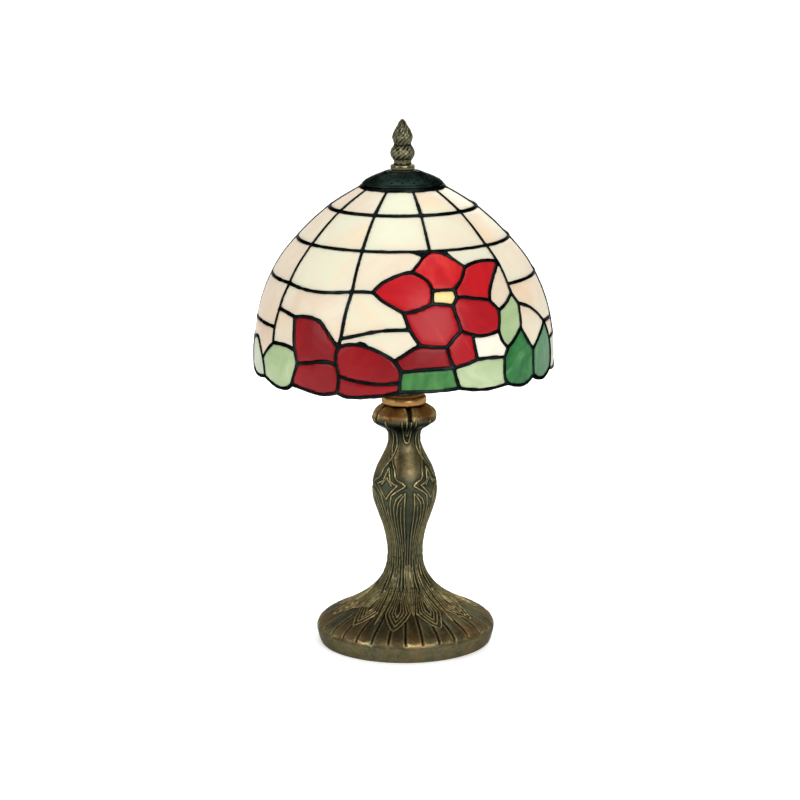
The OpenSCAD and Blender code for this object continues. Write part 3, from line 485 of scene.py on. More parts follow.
def soft_outline(p, step):
    """A closed outline with curved edges between its corners."""
    p = tidy_loop(p)
    corners = np.flatnonzero(np.abs(turn_angles(p)) > CORNER)
    if len(corners) < 2:
        out = curve_through(p, step, closed=True)
        return out, np.zeros((0, 2))
    p = np.roll(p, -corners[0], 0)
    corners = corners - corners[0]
    spans = []
    for i, a in enumerate(corners):
        b = corners[i + 1] if i + 1 < len(corners) else len(p)
        run = np.vstack([p[a:b], p[b % len(p)][None]])
        spans.append(curve_through(run, step)[:-1])
    return np.vstack(spans), p[corners]


def round_off(p, passes):
    """Softens a dense outline, which rounds its corners."""
    for _ in range(passes):
        p = 0.5 * p + 0.25 * (np.roll(p, 1, 0) + np.roll(p, -1, 0))
    return p


def offset_loop(p, distance):
    """Moves a dense outline sideways, outwards for a positive distance."""
    area = 0.5 * np.sum(p[:, 0] * np.roll(p[:, 1], -1) - np.roll(p[:, 0], -1) * p[:, 1])
    return p + sideways(p) * (distance if area > 0 else -distance)


def inside(points, loop):
    """Which points lie inside a closed outline."""
    x, y = points[:, 0][:, None], points[:, 1][:, None]
    x0, y0 = loop[:, 0][None], loop[:, 1][None]
    x1, y1 = np.roll(loop[:, 0], -1)[None], np.roll(loop[:, 1], -1)[None]
    crosses = (y0 > y) != (y1 > y)
    at = x0 + (y - y0) * (x1 - x0) / np.where(np.abs(y1 - y0) < 1e-12, 1e-12, y1 - y0)
    return (crosses & (x < at)).sum(1) % 2 == 1


def fill_flat(loops, spacing, margin):
    """Triangles that fill an outline, less any holes in it, with points spread inside."""
    outline = loops[0]
    low, high = outline.min(0), outline.max(0)
    xs = np.arange(low[0] + spacing / 2, high[0], spacing)
    ys = np.arange(low[1] + spacing / 2, high[1], spacing * 0.866)
    grid = np.array([(x + (spacing / 2 if i % 2 else 0), y) for i, y in enumerate(ys) for x in xs])
    points = np.vstack(loops)
    if len(grid):
        grid = grid[inside(grid, outline)]
        for hole in loops[1:]:
            grid = grid[~inside(grid, hole)]
        gap = np.min(np.linalg.norm(grid[:, None] - points[None], axis=2), axis=1)
        grid = grid[gap > margin]
    edges, start = [], 0
    for loop in loops:
        n = len(loop)
        edges += [(start + i, start + (i + 1) % n) for i in range(n)]
        start += n
    every = np.vstack([points, grid]) if len(grid) else points
    made = delaunay_2d_cdt([Vector(p) for p in every], edges, [], 0, 1e-6)
    verts = np.array([tuple(v) for v in made[0]])
    tris = np.array(made[2])
    centres = verts[tris].mean(1)
    good = inside(centres, outline)
    for hole in loops[1:]:
        good &= ~inside(centres, hole)
    return verts, tris[good]


def slab(verts, tris, outer, inner):
    """A closed slab from a flat triangulation, given its outer and inner points."""
    n = len(verts)
    faces = [tuple(t) for t in tris] + [(t[2] + n, t[1] + n, t[0] + n) for t in tris]
    faces += [(j, i, i + n, j + n) for i, j in sorted(border(tris))]
    return np.vstack([outer, inner]), faces


def edge_distance(points, loop):
    """Distance from each point to a closed outline."""
    a, b = loop, np.roll(loop, -1, 0)
    d = b - a
    length = (d * d).sum(1) + 1e-12
    t = np.clip(((points[:, None] - a[None]) * d[None]).sum(2) / length[None], 0, 1)
    near = a[None] + t[..., None] * d[None]
    return np.linalg.norm(points[:, None] - near, axis=2).min(1)


# In mm: how thick the glass is, the gap to the middle of a seam and how far edges are rounded
GLASS_T = 2.4
FOIL_GAP = 0.55
EDGE_ROUND = 0.35


def waviness(points, size, seed):
    """Smooth random waves over points in mm, of about unit height."""
    rng = np.random.default_rng(seed)
    total = np.zeros(len(points))
    for _ in range(6):
        k = rng.normal(size=3) / size
        total += np.sin(points @ k * 2 * math.pi + rng.uniform(0, 6.3)) / 6 ** 0.5
    return total


def sheet_tone_with_painted_light(patch):
    """How pale a piece is: a random tone for each piece, plus painted light that makes tiles facing
    the front and tiles in the upper rows paler, so the tiles run from peach at the left to a
    greenish white in front.
    """
    painted_front_light = math.cos(math.radians(patch.middle - 12))
    lift = 0.5 + 0.35 * painted_front_light + (0.08 if patch.z_mid > UPPER_NET_Z else -0.08)
    return min(1.0, max(0.0, lift + random.uniform(-0.28, 0.28)))


def build_glass():
    """Each glass node's pieces as gently waved slabs, and the outlines that the seams follow."""
    seam_loops, blobs = [], []
    for number, node in enumerate(GLASS_NODES):
        points, faces, tints = [], [], []
        count = 0
        for loop in LOOPS[node]:
            patch = Patch(loop)
            outline, corners = soft_outline(patch.flat, 1.0)
            outline = round_off(outline, 2)
            verts, tris = fill_flat([outline], 2.2, 0.8)
            middle = patch.to_dome(verts, GLASS_T / 2)
            edge = edge_distance(verts, outline)
            fall = EDGE_ROUND * np.exp(-edge / 0.5)
            wave = 0.10 * waviness(middle, 16, number) * smooth_step(0, 4, edge)
            outer = patch.to_dome(verts, fall - wave)
            inner = patch.to_dome(verts, GLASS_T - fall - wave)
            a, b, c = outer[tris[0]]
            if np.dot(np.cross(b - a, c - a), (a + b + c) / 3 - DOME_CENTRE) < 0:
                tris = tris[:, ::-1]
            slab_points, slab_faces = slab(verts, tris, outer, inner)
            points.append(slab_points)
            faces += [tuple(i + count for i in f) for f in slab_faces]
            count += len(slab_points)
            tint = [sheet_tone_with_painted_light(patch), random.random(), random.random()]
            tints.append(np.tile(tint, (len(slab_points), 1)))
            seam_loops.append((patch, offset_loop(outline, FOIL_GAP)))
            away = corners - outline.mean(0)
            away /= np.linalg.norm(away, axis=1)[:, None] + 1e-9
            blobs += [patch.to_dome((q + w * FOIL_GAP)[None], GLASS_T / 2)[0]
                      for q, w in zip(corners, away)]
        mesh = mesh_from("glass_" + node, np.vstack(points) * MM, faces)
        set_colours(mesh, "tint", np.vstack(tints))
        slot = NODE_SLOT[node]
        add_piece("glass_" + node, mesh, GLASS[SHEET_FOR.get(node, slot)], "shade", [node])
    return seam_loops, blobs


# ---------------------------------------------------------------- seams

# Half widths and depth of the solder beads, in mm, and how flat their sides are
SEAM_WIDE = 1.36
RING_WIDE = 1.14
SEAM_DEEP = 1.9
SEAM_FLAT = 0.7
SEAM_SIDES = 12
NET_BUDGET = 180000  # triangles in each net
# In mm: the height between the two nets, the lumps at corners and the bead under the cap
UPPER_NET_Z = 262
LUMP_R = 1.5
CROWN_BEAD_R = 27.1
CROWN_BEAD_Z = 311.0
CROWN_BEAD_T = 1.3


def loop_faces(length, section):
    """Quads of a tube that closes on itself."""
    faces = []
    for i in range(length):
        j = (i + 1) % length
        for k in range(section):
            m = (k + 1) % section
            faces.append((i * section + k, i * section + m, j * section + m, j * section + k))
    return faces


def crown_bead():
    """The thick soldered bead round the opening at the top, just under the cap's rim."""
    turn = np.radians(np.arange(0, 360, 3))[:, None]
    round_it = np.radians(np.arange(0, 360, 30))[None]
    r = CROWN_BEAD_R + CROWN_BEAD_T * np.cos(round_it) + 0 * turn
    z = CROWN_BEAD_Z + CROWN_BEAD_T * np.sin(round_it) + 0 * turn
    points = np.stack([r * np.sin(turn), -r * np.cos(turn), z], -1).reshape(-1, 3)
    return points, loop_faces(turn.size, round_it.size)


def seam_tube(patch, outline, half_width, number):
    """A soldered bead along an outline: an oval section that follows the dome."""
    side = sideways(outline)
    middle = patch.to_dome(outline, GLASS_T / 2)
    vary = 1 + 0.13 * waviness(middle, 9, 500 + number % 3)
    rows = []
    for k in range(SEAM_SIDES):
        a = 2 * math.pi * k / SEAM_SIDES
        across = half_width * math.copysign(abs(math.cos(a)) ** SEAM_FLAT, math.cos(a)) * vary
        depth = GLASS_T / 2 + SEAM_DEEP * math.sin(a) * (0.94 + 0.06 * vary)
        flat = outline + side * across[:, None]
        z = np.interp(flat[:, 1], DOME_S, DOME_Z)
        rows.append(on_dome(patch.middle + flat[:, 0] / patch.scale, z, depth))
    return np.stack(rows, 1).reshape(-1, 3), loop_faces(len(outline), SEAM_SIDES)


def ball(centre, radius):
    """A small lump of solder."""
    bm = bmesh.new()
    bmesh.ops.create_icosphere(bm, subdivisions=1, radius=radius)
    points = np.array([v.co for v in bm.verts]) + centre
    faces = [tuple(v.index for v in f.verts) for f in bm.faces]
    bm.free()
    return points, faces


def melt_together(mesh, voxel, budget):
    """Joins overlapping solids into one skin and keeps it under a face budget."""
    piece = new_object("melt", mesh)
    remesh = piece.modifiers.new("remesh", "REMESH")
    remesh.mode = "VOXEL"
    remesh.voxel_size = voxel * MM
    soften = piece.modifiers.new("soften", "SMOOTH")
    soften.factor, soften.iterations = 0.5, 2
    done = evaluated(piece)
    count = 2 * len(done.polygons)
    if count > budget:
        piece.modifiers.clear()
        piece.data = done
        fewer = piece.modifiers.new("fewer", "DECIMATE")
        fewer.ratio = budget / count
        done = evaluated(piece)
    bpy.data.objects.remove(piece)
    done.materials.clear()
    return done


def build_seams(outlines, blobs):
    """The soldered seams, as an upper net of rings and ribs and a lower net round the flowers."""
    nets = {"upper": [[], [], 0], "flower": [[], [], 0]}

    def put(net, made):
        points, faces = made
        count = nets[net][2]
        nets[net][0].append(points)
        nets[net][1] += [tuple(i + count for i in f) for f in faces]
        nets[net][2] += len(points)

    for number, (patch, outline) in enumerate(outlines):
        net = "upper" if patch.z_mid > UPPER_NET_Z else "flower"
        half_width = SEAM_WIDE if net == "flower" else RING_WIDE
        put(net, seam_tube(patch, outline, half_width, number))
    for p in blobs:
        put("upper" if p[2] > UPPER_NET_Z else "flower", ball(p, LUMP_R))
    put("upper", crown_bead())
    voxel = 0.55
    for net, name, nodes in (("upper", "seams_upper", ["ring_seams", "rib_seams"]),
                             ("flower", "seams_flower", ["flower_seams", "rim_wire"])):
        points, faces, _ = nets[net]
        mesh = melt_together(mesh_from(name, np.vstack(points) * MM, faces), voxel, NET_BUDGET)
        mesh.name = name
        add_piece(name, mesh, SOLDER, "shade", nodes)


# ---------------------------------------------------------------- base casting

# Half widths of the raised lines, in mm
FOOT_LINE = 0.40
STEM_LINE = 0.34
# How often each pattern repeats round the base, and where it starts, in degrees
FOOT_SECTORS = 5
STEM_SECTORS = 4
LOBES = 5
FLUTES = 32
WAIST_RIBS = 40
FIRST_CLEFT = 11
LEAF_AT = 18
PATTERN_TURN = 9
# Edge of the smooth panel on the bulge, as [mm from the rim, degrees from its middle]
PANEL_EDGE = [(136, 7), (139, 13), (141, 23), (143, 27), (148, 30), (152, 37), (156, 44),
              (163, 35), (169, 36), (176, 40)]


def cad_radius(node, z, angles=(20, 61, 115, 160, 205, 250, 295)):
    """Outer radius in mm of a round CAD node at some heights."""
    mesh = frame["nodes"][node].data
    mesh.calc_loop_triangles()
    tree = BVHTree.FromPolygons([v.co / MM for v in mesh.vertices],
                                [t.vertices for t in mesh.loop_triangles])
    out = []
    for height in z:
        hits = []
        for a in angles:
            away = Vector((math.sin(math.radians(a)), -math.cos(math.radians(a)), 0))
            start = away * 90
            start.z = height
            hit = tree.ray_cast(start, -away)
            if hit[0] is not None:
                hits.append(math.hypot(hit[0].x, hit[0].y))
        out.append(np.median(hits) if hits else 0.0)
    return np.array(out)


def base_profile(spacing):
    """The casting's outside from the bottom edge up: radius, height and length along it."""
    z = np.linspace(0.45, 163.9, 700)
    r = cad_radius("cast_base", z)
    kernel = np.exp(-0.5 * (np.arange(-4, 5) / 1.8) ** 2)
    padded = np.pad(r, 4, mode="reflect", reflect_type="odd")
    r = np.convolve(padded, kernel / kernel.sum(), "valid")
    s = np.concatenate([[0], np.cumsum(np.hypot(np.diff(r), np.diff(z)))])
    even = np.arange(0, s[-1], spacing)
    return np.interp(even, s, r), np.interp(even, s, z), even


def line_distance(phi, s, radius, line):
    """Distance in mm on the surface from each point to a broken line of (degrees, mm)."""
    best = np.full(phi.shape, 1e9)
    k = radius * math.pi / 180
    for (p0, s0), (p1, s1) in zip(line[:-1], line[1:]):
        near = (s > min(s0, s1) - 6) & (s < max(s0, s1) + 6)
        if not near.any():
            continue
        ax, ay = (phi[near] - p0) * k[near], s[near] - s0
        dx, dy = (p1 - p0) * k[near], s1 - s0
        t = np.clip((ax * dx + ay * dy) / (dx * dx + dy * dy + 1e-9), 0, 1)
        best[near] = np.minimum(best[near], np.hypot(ax - t * dx, ay - t * dy))
    return best


# Raised lines of the relief in one half sector, as [degrees from its middle, mm from the rim]
FOOT_LINES = [
    # Nested pointed leaves, open at the top
    [(12, 62), (6.5, 50), (3.5, 42), (18, 25), (20.5, 26.5), (31, 41), (29, 52), (26, 66)],
    [(14, 60), (9.5, 50), (7.5, 42.5), (18, 29.5), (27.5, 41.5), (25.5, 51), (23, 64)],
    [(15.5, 57), (12.5, 50), (11, 43), (18, 34), (24, 42), (22.5, 50), (20.5, 60)],
    [(17, 55), (15, 49), (14.5, 43.5), (18, 38.5), (21, 43), (20, 49), (18.5, 57)],
    # Stems that rise from between them
    [(0, 40), (2.6, 47), (5, 54), (9, 64), (12, 76)],
    [(0, 44), (2.5, 54), (5, 64), (7, 78)],
    [(0.8, 50), (2, 62), (3, 78)],
    [(36, 30), (35, 42), (33.5, 54), (31, 68), (30, 78)],
    [(36, 46), (34.6, 58), (33.5, 70)],
]
STEM_LINES = [
    # Angular flower: an arch from tip to tip over the edge between two sectors, and its nest
    [(8, 137), (14, 139), (24, 141), (28, 143), (31, 148), (38, 152), (45, 156)],
    [(45, 156), (36, 163), (37, 169), (40, 176), (45, 188)],
    [(23, 137), (37, 139.5), (45, 149)],
    [(34, 137), (45, 142)],
    [(8, 137), (24, 133), (34, 130), (38, 122), (40, 112), (38, 98), (34, 84)],
    [(23, 137), (37, 131.5), (45, 127)],
    # Blades below it
    [(8, 132), (14, 129), (21, 125), (26, 116), (26, 104), (22, 92), (19, 82)],
    [(8, 132), (10, 121), (10.5, 110), (9.5, 98), (8, 84)],
    [(14, 131.5), (25, 127.5), (31, 121), (33, 110), (30, 96), (27, 84)],
    [(45, 120), (44, 106), (42, 94), (41, 84)],
    [(16, 122), (19, 112), (18, 100), (14, 88)],
]
NECK_LINES = [
    [(0, 166), (7, 167), (12, 170), (13, 176), (13, 188)],
    [(0, 171), (4, 172.5), (4, 188)],
]


def mirror_phi(angle, sectors):
    """Degrees from the middle of a point's sector, on one side of it."""
    width = 360 / sectors
    return np.abs((angle - PATTERN_TURN + width / 2) % width - width / 2)


def ridge(distance, width):
    return np.exp(-(distance / width) ** 2)


def drawn_lines(s, radius, drawings):
    """How much of a raised line, and of the dip beside one, is at each point. A drawing is
    (degrees from the middle of each point's sector, its lines, their half width)."""
    lines, dips = np.zeros_like(s), np.zeros_like(s)
    for phi, drawing, width in drawings:
        for line in drawing:
            d = line_distance(phi, s, radius, line)
            lines = np.maximum(lines, ridge(d, width))
            dips = np.maximum(dips, ridge(d - 0.85, 0.38))
    return lines, dips


def with_ribs(lines, dips, angle, s):
    """The same with the fine ribs of the waist, which take over from the lines there."""
    sway = angle + 1.2 * np.sin(np.radians(s * 6)) + 1.5 * np.sin(np.radians(angle * 3))
    ribs = 0.5 + 0.5 * np.cos(np.radians(sway * WAIST_RIBS))
    shown = smooth_step(52, 66, s) * (1 - smooth_step(84, 98, s))
    lines = np.maximum(lines * (1 - 0.3 * shown), ribs ** 5 * shown * 0.75)
    return lines, np.maximum(dips, (1 - ribs) * shown)


def leaf_clear(angle, s):
    """1 away from the pointed leaves of the foot and 0 inside them."""
    phi = mirror_phi(angle, FOOT_SECTORS)
    reach = np.interp(s, [24, 42, 60], [0, 14.5, 10])
    return smooth_step(-1, 1, np.abs(phi - LEAF_AT) - reach)


def foot_relief(angle, s, radius):
    """Height of the foot's relief in mm, with how rubbed (plus painted glints on the lip), dark and
    coppery each point is.
    """
    flute = (angle / (360 / FLUTES) + 0.5) % 1 - 0.5
    width = radius * 2 * math.pi / FLUTES
    off = np.abs(flute) * width
    fade = smooth_step(12, 14.5, s) * (1 - smooth_step(30, 50, s))
    fade *= 0.35 + 0.65 * leaf_clear(angle, s)
    groove = ridge(off, 0.7) * fade
    shoulder = ridge(off - 1.35, 0.55) * fade
    belly = (1 - (2 * flute) ** 2) * fade * (1 - smooth_step(20, 40, s))
    foot_drawing = (mirror_phi(angle, FOOT_SECTORS), FOOT_LINES, FOOT_LINE)
    lines, dips = with_ribs(*drawn_lines(s, radius, [foot_drawing]), angle, s)
    lip_top = 12.8 - 1.1 * ridge(off, 1.6)
    lip = ridge(s - lip_top, 0.75)
    height = 0.42 * lines - 0.30 * dips - 0.75 * groove + 0.18 * shoulder + 0.35 * belly + 0.2 * lip
    warm = smooth_step(11, 13, s) * (1 - smooth_step(17, 27, s))
    # Painted glints: bright spots along the lip's crest that stand in for highlights.
    painted_glint = 0.18 + 0.36 * np.cos(np.radians(angle * 7)) * np.sin(np.radians(angle * 19 + 30))
    rubbed_and_sheen = np.clip(lines * (1.2 - 0.45 * smooth_step(34, 50, s)) + shoulder * 0.3 + lip * painted_glint
                     + 0.14 * ridge(s - 15, 2.6) * (1 - groove)
                     + 0.10 * (1 - smooth_step(9, 12, s)), 0, 1)
    dark = np.clip(dips * 0.6 + groove, 0, 1) * (1 - lines)
    blotch = 0.55 + 0.45 * np.sin(np.radians(angle * 5 + 40)) * np.sin(np.radians(angle * 13))
    upper = 1 - smooth_step(36, 58, s)
    copper = np.clip(0.4 * warm * blotch + 0.2 * blotch * upper, 0, 1)
    return height, rubbed_and_sheen, dark, copper


def stem_relief(angle, s, radius):
    """The same for the stem, with painted sheen on the bulge and a painted highlight on the panel:
    lines up the waist, the angular flower, the neck and the collar.
    """
    phi = mirror_phi(angle, STEM_SECTORS)
    drawings = [(mirror_phi(angle, FOOT_SECTORS), FOOT_LINES, FOOT_LINE),
                (phi, STEM_LINES + NECK_LINES, STEM_LINE)]
    lines, dips = with_ribs(*drawn_lines(s, radius, drawings), angle, s)
    side = np.interp(s, *np.transpose(PANEL_EDGE))
    panel = (1 - smooth_step(-4, -1, phi - side)) * smooth_step(136, 146, s) \
        * (1 - smooth_step(160, 176, s))
    blade = (1 - smooth_step(6.5, 8, phi)) * smooth_step(92, 100, s)
    blade *= 1 - smooth_step(128, 136, s)
    lobe = ((angle - FIRST_CLEFT) * LOBES / 360 + 0.5) % 1 - 0.5
    cleft = np.abs(lobe) * 2 * math.pi * radius / LOBES
    collar = smooth_step(187, 190, s)
    spread = 1.9 + 3.2 * np.clip((s - 196) / 9, 0, 1) ** 2
    edge = ridge(cleft - spread - 0.7, 0.4) * collar
    cut = (1 - smooth_step(0.2 * spread, spread, cleft)) * collar
    swell = (1 - np.abs(2 * lobe) ** 2.5) * collar
    lines, dips = lines * (1 - collar), dips * (1 - collar)
    height = 0.42 * lines - 0.34 * dips + 0.30 * panel - 0.25 * blade \
        + 0.3 * edge - 2.0 * cut + 0.9 * swell - 0.75 * collar
    neck = smooth_step(162, 173, s) * (1 - smooth_step(185, 188, s))
    bulge = smooth_step(118, 134, s)
    # Painted highlight on the panel's upper part, and painted sheen that brightens the rubbed lines
    # on the bulge and the lower waist.
    painted_glow = 0.16 * panel * smooth_step(138, 150, s)
    painted_sheen = 0.32 + 0.58 * bulge + 0.3 * (1 - smooth_step(68, 92, s))
    rubbed_and_sheen = np.clip(lines * (1 - 0.72 * neck) * painted_sheen + 0.8 * edge + painted_glow
                     + 0.62 * swell ** 3, 0, 1)
    dark = np.clip(dips * 0.9 + 0.9 * cut + 0.95 * neck + 0.25 * blade
                   + 0.6 * collar * ridge(s - 187, 2.2), 0, 1) * (1 - lines)
    copper = np.clip(0.16 * panel + 1.0 * collar * (1 - cut), 0, 1)
    return height, rubbed_and_sheen, dark, copper


BORE_R = 5.2  # the pipe's bore through the casting, in mm


def closed_round(name, skin, wear_and_sheen, closing, dark):
    """A closed round solid: an outer skin of rows from the bottom up, carried on through plain
    rings given as (radius, height) from its top edge back to its bottom edge."""
    columns = skin.shape[1]
    turn = np.radians(np.arange(columns) * 360 / columns)
    rows, marks = [skin], [wear_and_sheen]
    for radius, level in closing:
        ring = [radius * np.sin(turn), -radius * np.cos(turn), np.full(columns, level)]
        rows.append(np.stack(ring, -1)[None])
        marks.append(np.tile([0.0, dark, 0.0], (1, columns, 1)))
    count = sum(len(row) for row in rows)
    last = (count - 1) * columns
    faces = grid_faces(count, columns)
    faces += [(last + j, last + (j + 1) % columns, (j + 1) % columns, j) for j in range(columns)]
    mesh = mesh_from(name, np.concatenate(rows).reshape(-1, 3) * MM, faces)
    set_colours(mesh, "wear_and_sheen", np.concatenate(marks).reshape(-1, 3))
    return mesh


def cast_surface(name, s_low, s_high, columns, spacing, relief, closing):
    """A band of the casting as a closed solid, with its relief cut as real shape."""
    r, z, s = PROFILE
    keep = np.arange(s_low, s_high + 1e-6, spacing)
    rr, zz = np.interp(keep, s, r), np.interp(keep, s, z)
    angle = np.arange(columns) * 360 / columns
    grid_a, grid_s = np.meshgrid(angle, keep)
    grid_r = np.repeat(rr[:, None], columns, 1)
    height, rubbed_and_sheen, dark, copper = relief(grid_a, grid_s, grid_r)
    slope_r, slope_z = np.gradient(rr, keep), np.gradient(zz, keep)
    length = np.hypot(slope_r, slope_z)
    point_r = grid_r + height * (slope_z / length)[:, None]
    point_z = zz[:, None] - height * (slope_r / length)[:, None]
    turn = np.radians(grid_a)
    outside = np.stack([point_r * np.sin(turn), -point_r * np.cos(turn), point_z], -1)
    return closed_round(name, outside, np.stack([rubbed_and_sheen, dark, copper], -1), closing, 0.3)


SPLIT_S = 60  # mm from the rim to where base_foot ends and base_stem starts
OUTLET_R = 4.0
OUTLET_Z = 7.5


def bored(mesh, radius, level):
    """The mesh with the cord's outlet cut through its back wall."""
    bm = bmesh.new()
    bmesh.ops.create_cone(bm, cap_ends=True, segments=40, radius1=radius * MM,
                          radius2=radius * MM, depth=30 * MM)
    turn = Matrix.Rotation(math.pi / 2, 4, "X")
    bmesh.ops.transform(bm, matrix=Matrix.Translation((0, 62 * MM, level * MM)) @ turn,
                        verts=bm.verts)
    drill_mesh = bpy.data.meshes.new("drill")
    bm.to_mesh(drill_mesh)
    bm.free()
    drill, block = new_object("drill", drill_mesh), new_object("block", mesh)
    cut = block.modifiers.new("cut", "BOOLEAN")
    cut.operation, cut.object, cut.solver = "DIFFERENCE", drill, "EXACT"
    done = evaluated(block)
    for piece in (drill, block):
        bpy.data.objects.remove(piece)
    done.name = "base_foot"
    return done


def build_base():
    """The cast foot and stem, hollow under the flare like the CAD."""
    _, z, s = PROFILE
    split_z = np.interp(SPLIT_S, s, z)
    foot = cast_surface("base_foot", 0.0, SPLIT_S, 900,
                        0.6, foot_relief,
                        [(BORE_R, split_z), (BORE_R, 26.0), (24.0, 26.0), (49.0, 14.0),
                         (55.0, 9.0), (55.3, 0.5)])
    stem = cast_surface("base_stem", SPLIT_S + 0.02, s[-1], 440,
                        0.65, stem_relief,
                        [(BORE_R, 163.9), (BORE_R, split_z + 0.02)])
    foot = bored(foot, OUTLET_R, OUTLET_Z)
    add_piece("base_foot", foot, BRONZE, "root", ["cast_base"])
    add_piece("base_stem", stem, BRONZE, "root", ["cast_base"])


def turned_solid(name, outline, columns, relief, material, body, replaced, bore, rows=0.35):
    """A turned solid round the axis whose side carries a relief."""
    path = np.asarray(outline, float)
    length = np.concatenate([[0], np.cumsum(np.hypot(*np.diff(path, axis=0).T))])
    s = np.arange(0, length[-1], rows)
    rr, zz = np.interp(s, length, path[:, 0]), np.interp(s, length, path[:, 1])
    angle = np.arange(columns) * 360 / columns
    grid_a, grid_s = np.meshgrid(angle, s)
    flat = 0 * grid_a
    height, rubbed_and_sheen, dark, copper = relief(grid_a, zz[:, None] + flat, rr[:, None] + flat)
    point_r = np.maximum(rr[:, None] + height, bore + 0.1)
    turn = np.radians(grid_a)
    side = np.stack([point_r * np.sin(turn), -point_r * np.cos(turn), zz[:, None] + 0 * turn], -1)
    mesh = closed_round(name, side, np.stack([rubbed_and_sheen, dark, copper], -1),
                        [(bore, zz[-1]), (bore, zz[0])], 0.0)
    add_piece(name, mesh, material, body, replaced)


# ---------------------------------------------------------------- neck ring and finial

NECK_RING = [(13.5, 164.02), (14.4, 164.5), (14.9, 165.6), (15.0, 167.2), (14.85, 168.6),
             (14.2, 169.7), (13.3, 170.3), (12.9, 170.8), (12.7, 171.15)]


def ring_relief(angle, z, radius):
    """A gilded ring with a dark foot, a brown belly and a dark step under its top edge."""
    height = 0.12 * ridge(z - 167.0, 1.3) - 0.35 * ridge(z - 169.9, 0.35)
    rubbed_and_sheen = 0.75 * ridge(z - 168.3, 0.7) + 0.5 * ridge(z - 165.2, 0.4) + 0.5 * ridge(z - 171, 0.4)
    dark = 0.9 * (1 - smooth_step(164.3, 165.0, z)) + 0.8 * ridge(z - 169.9, 0.45)
    return height, np.clip(rubbed_and_sheen, 0, 1), np.clip(dark, 0, 1), 0.75 + np.zeros_like(z)


def build_neck_ring():
    turned_solid("neck_ring_turned", curve_through(NECK_RING, 0.3), 180, ring_relief, GILT,
                 "root", ["neck_ring"], BORE_R)


FINIAL_OUTLINE = [(7.4, 321.75), (7.8, 322.1), (8.0, 322.8), (8.0, 324.0), (7.7, 324.8),
                  (7.0, 325.1), (6.0, 325.4), (5.75, 326.2), (5.75, 327.4), (6.0, 328.0),
                  (7.2, 329.4), (8.1, 331.4), (8.2, 333.2), (7.7, 335.2), (6.6, 337.0),
                  (5.8, 338.2), (6.0, 339.6), (6.7, 341.5), (7.0, 343.2), (6.6, 345.0),
                  (5.8, 347.0), (4.7, 349.0), (3.5, 351.0), (2.5, 353.0), (1.5, 354.3),
                  (0.9, 354.8), (0.15, 355.0)]


def leaf_tier(angle, z, foot, tip, count, turn, lean):
    """One whorl of pointed leaves: their height above the core, from 0 to 1."""
    along = np.clip((z - foot) / (tip - foot), 0, 1)
    inside_tier = smooth_step(foot - 0.3, foot + 0.3, z)
    inside_tier *= 1 - smooth_step(tip - 0.2, tip + 0.2, z)
    place = ((angle + turn + lean * along) / (360 / count) + 0.5) % 1 - 0.5
    half = 0.5 * np.clip(1 - along ** 1.6, 0.0, 1) + 0.02
    body = np.clip(1 - (np.abs(place) / half) ** 2.2, 0, 1)
    vein = ridge(place / half, 0.22)
    return inside_tier * (body ** 0.5) * (1 - 0.32 * vein) * (0.55 + 0.45 * along)


def finial_relief(angle, z, radius):
    """Curling leaves on the lower bulb and overlapping pointed leaves on the bud."""
    leaves = [
        leaf_tier(angle, z, 328.0, 335.8, 6, 8, 40), leaf_tier(angle, z, 328.7, 337.6, 6, 38, 40),
        leaf_tier(angle, z, 338.6, 344.8, 5, 0, 8), leaf_tier(angle, z, 339.6, 349.0, 5, 36, 8),
        leaf_tier(angle, z, 343.6, 354.2, 5, 0, 4),
    ]
    strands = 0.5 + 0.5 * np.cos(np.radians(13 * (angle - 9 * (z - 334))))
    top = np.maximum.reduce(leaves + [0.55 * strands + 0.12]) * (0.72 + 0.28 * strands)
    leafy = smooth_step(327.8, 328.6, z) * (1 - smooth_step(354.2, 354.9, z)) \
        * (1 - ridge(z - 338.2, 0.5))
    height = leafy * (1.15 * top - 0.95)
    edge = ridge(z - 324.6, 0.35) + ridge(z - 322.4, 0.4)
    rubbed_and_sheen = np.clip(0.9 * top ** 3 * leafy + 0.5 * edge, 0, 1)
    dark = np.clip(1.15 * leafy * (1 - top) ** 1.4 + ridge(z - 325.7, 0.4)
                   + ridge(z - 338.2, 0.6), 0, 1)
    return height, rubbed_and_sheen, dark, np.full_like(z, 0.15)


def build_finial():
    turned_solid("finial_cast", curve_through(FINIAL_OUTLINE, 0.3), 240, finial_relief,
                 FINIAL_METAL, "finial", ["finial"], 0.1, 0.25)


# ---------------------------------------------------------------- carried CAD nodes

BULB_GLOW = 0.1


def opal_bulb():
    """White glass bulb, softly lit."""
    s = Shader("opal_bulb")
    grain = s.noise(s.coords(), 60, 2)
    return s.done(s.face({
        "Base Color": s.ramp(grain, [(0.3, (0.76, 0.73, 0.66)), (0.7, (0.82, 0.79, 0.72))]),
        "Roughness": 0.25, "Emission Color": (1.0, 0.88, 0.68, 1),
        "Emission Strength": BULB_GLOW}))


# The CAD's own shapes, by the material that each takes
CARRIED = {
    FELT: "felt_pad", IRON: "weight_disc", BLACK_PLASTIC: "cord_bush", PHENOLIC: "socket_insulator",
    STEEL: "lamp_pipe bottom_washer bulb_contact bulb_screw_cap",
    BRASS: "bottom_nut harp harp_nut harp_stud socket_cap socket_shell socket_screw_shell "
           "socket_contact terminal_screws shade_wheel cap_spacer",
    CAP_METAL: "heat_cap crown_ring", FINIAL_METAL: "finial_washer", FILAMENT: "bulb_filament",
    GLASS["white_glass"]: "bulb_stem", opal_bulb(): "bulb_glass",
}


def dress_carried():
    for material, nodes in CARRIED.items():
        for node in nodes.split():
            piece = frame["nodes"][node]
            piece.data.materials.clear()
            piece.data.materials.append(material)


# ---------------------------------------------------------------- room and camera

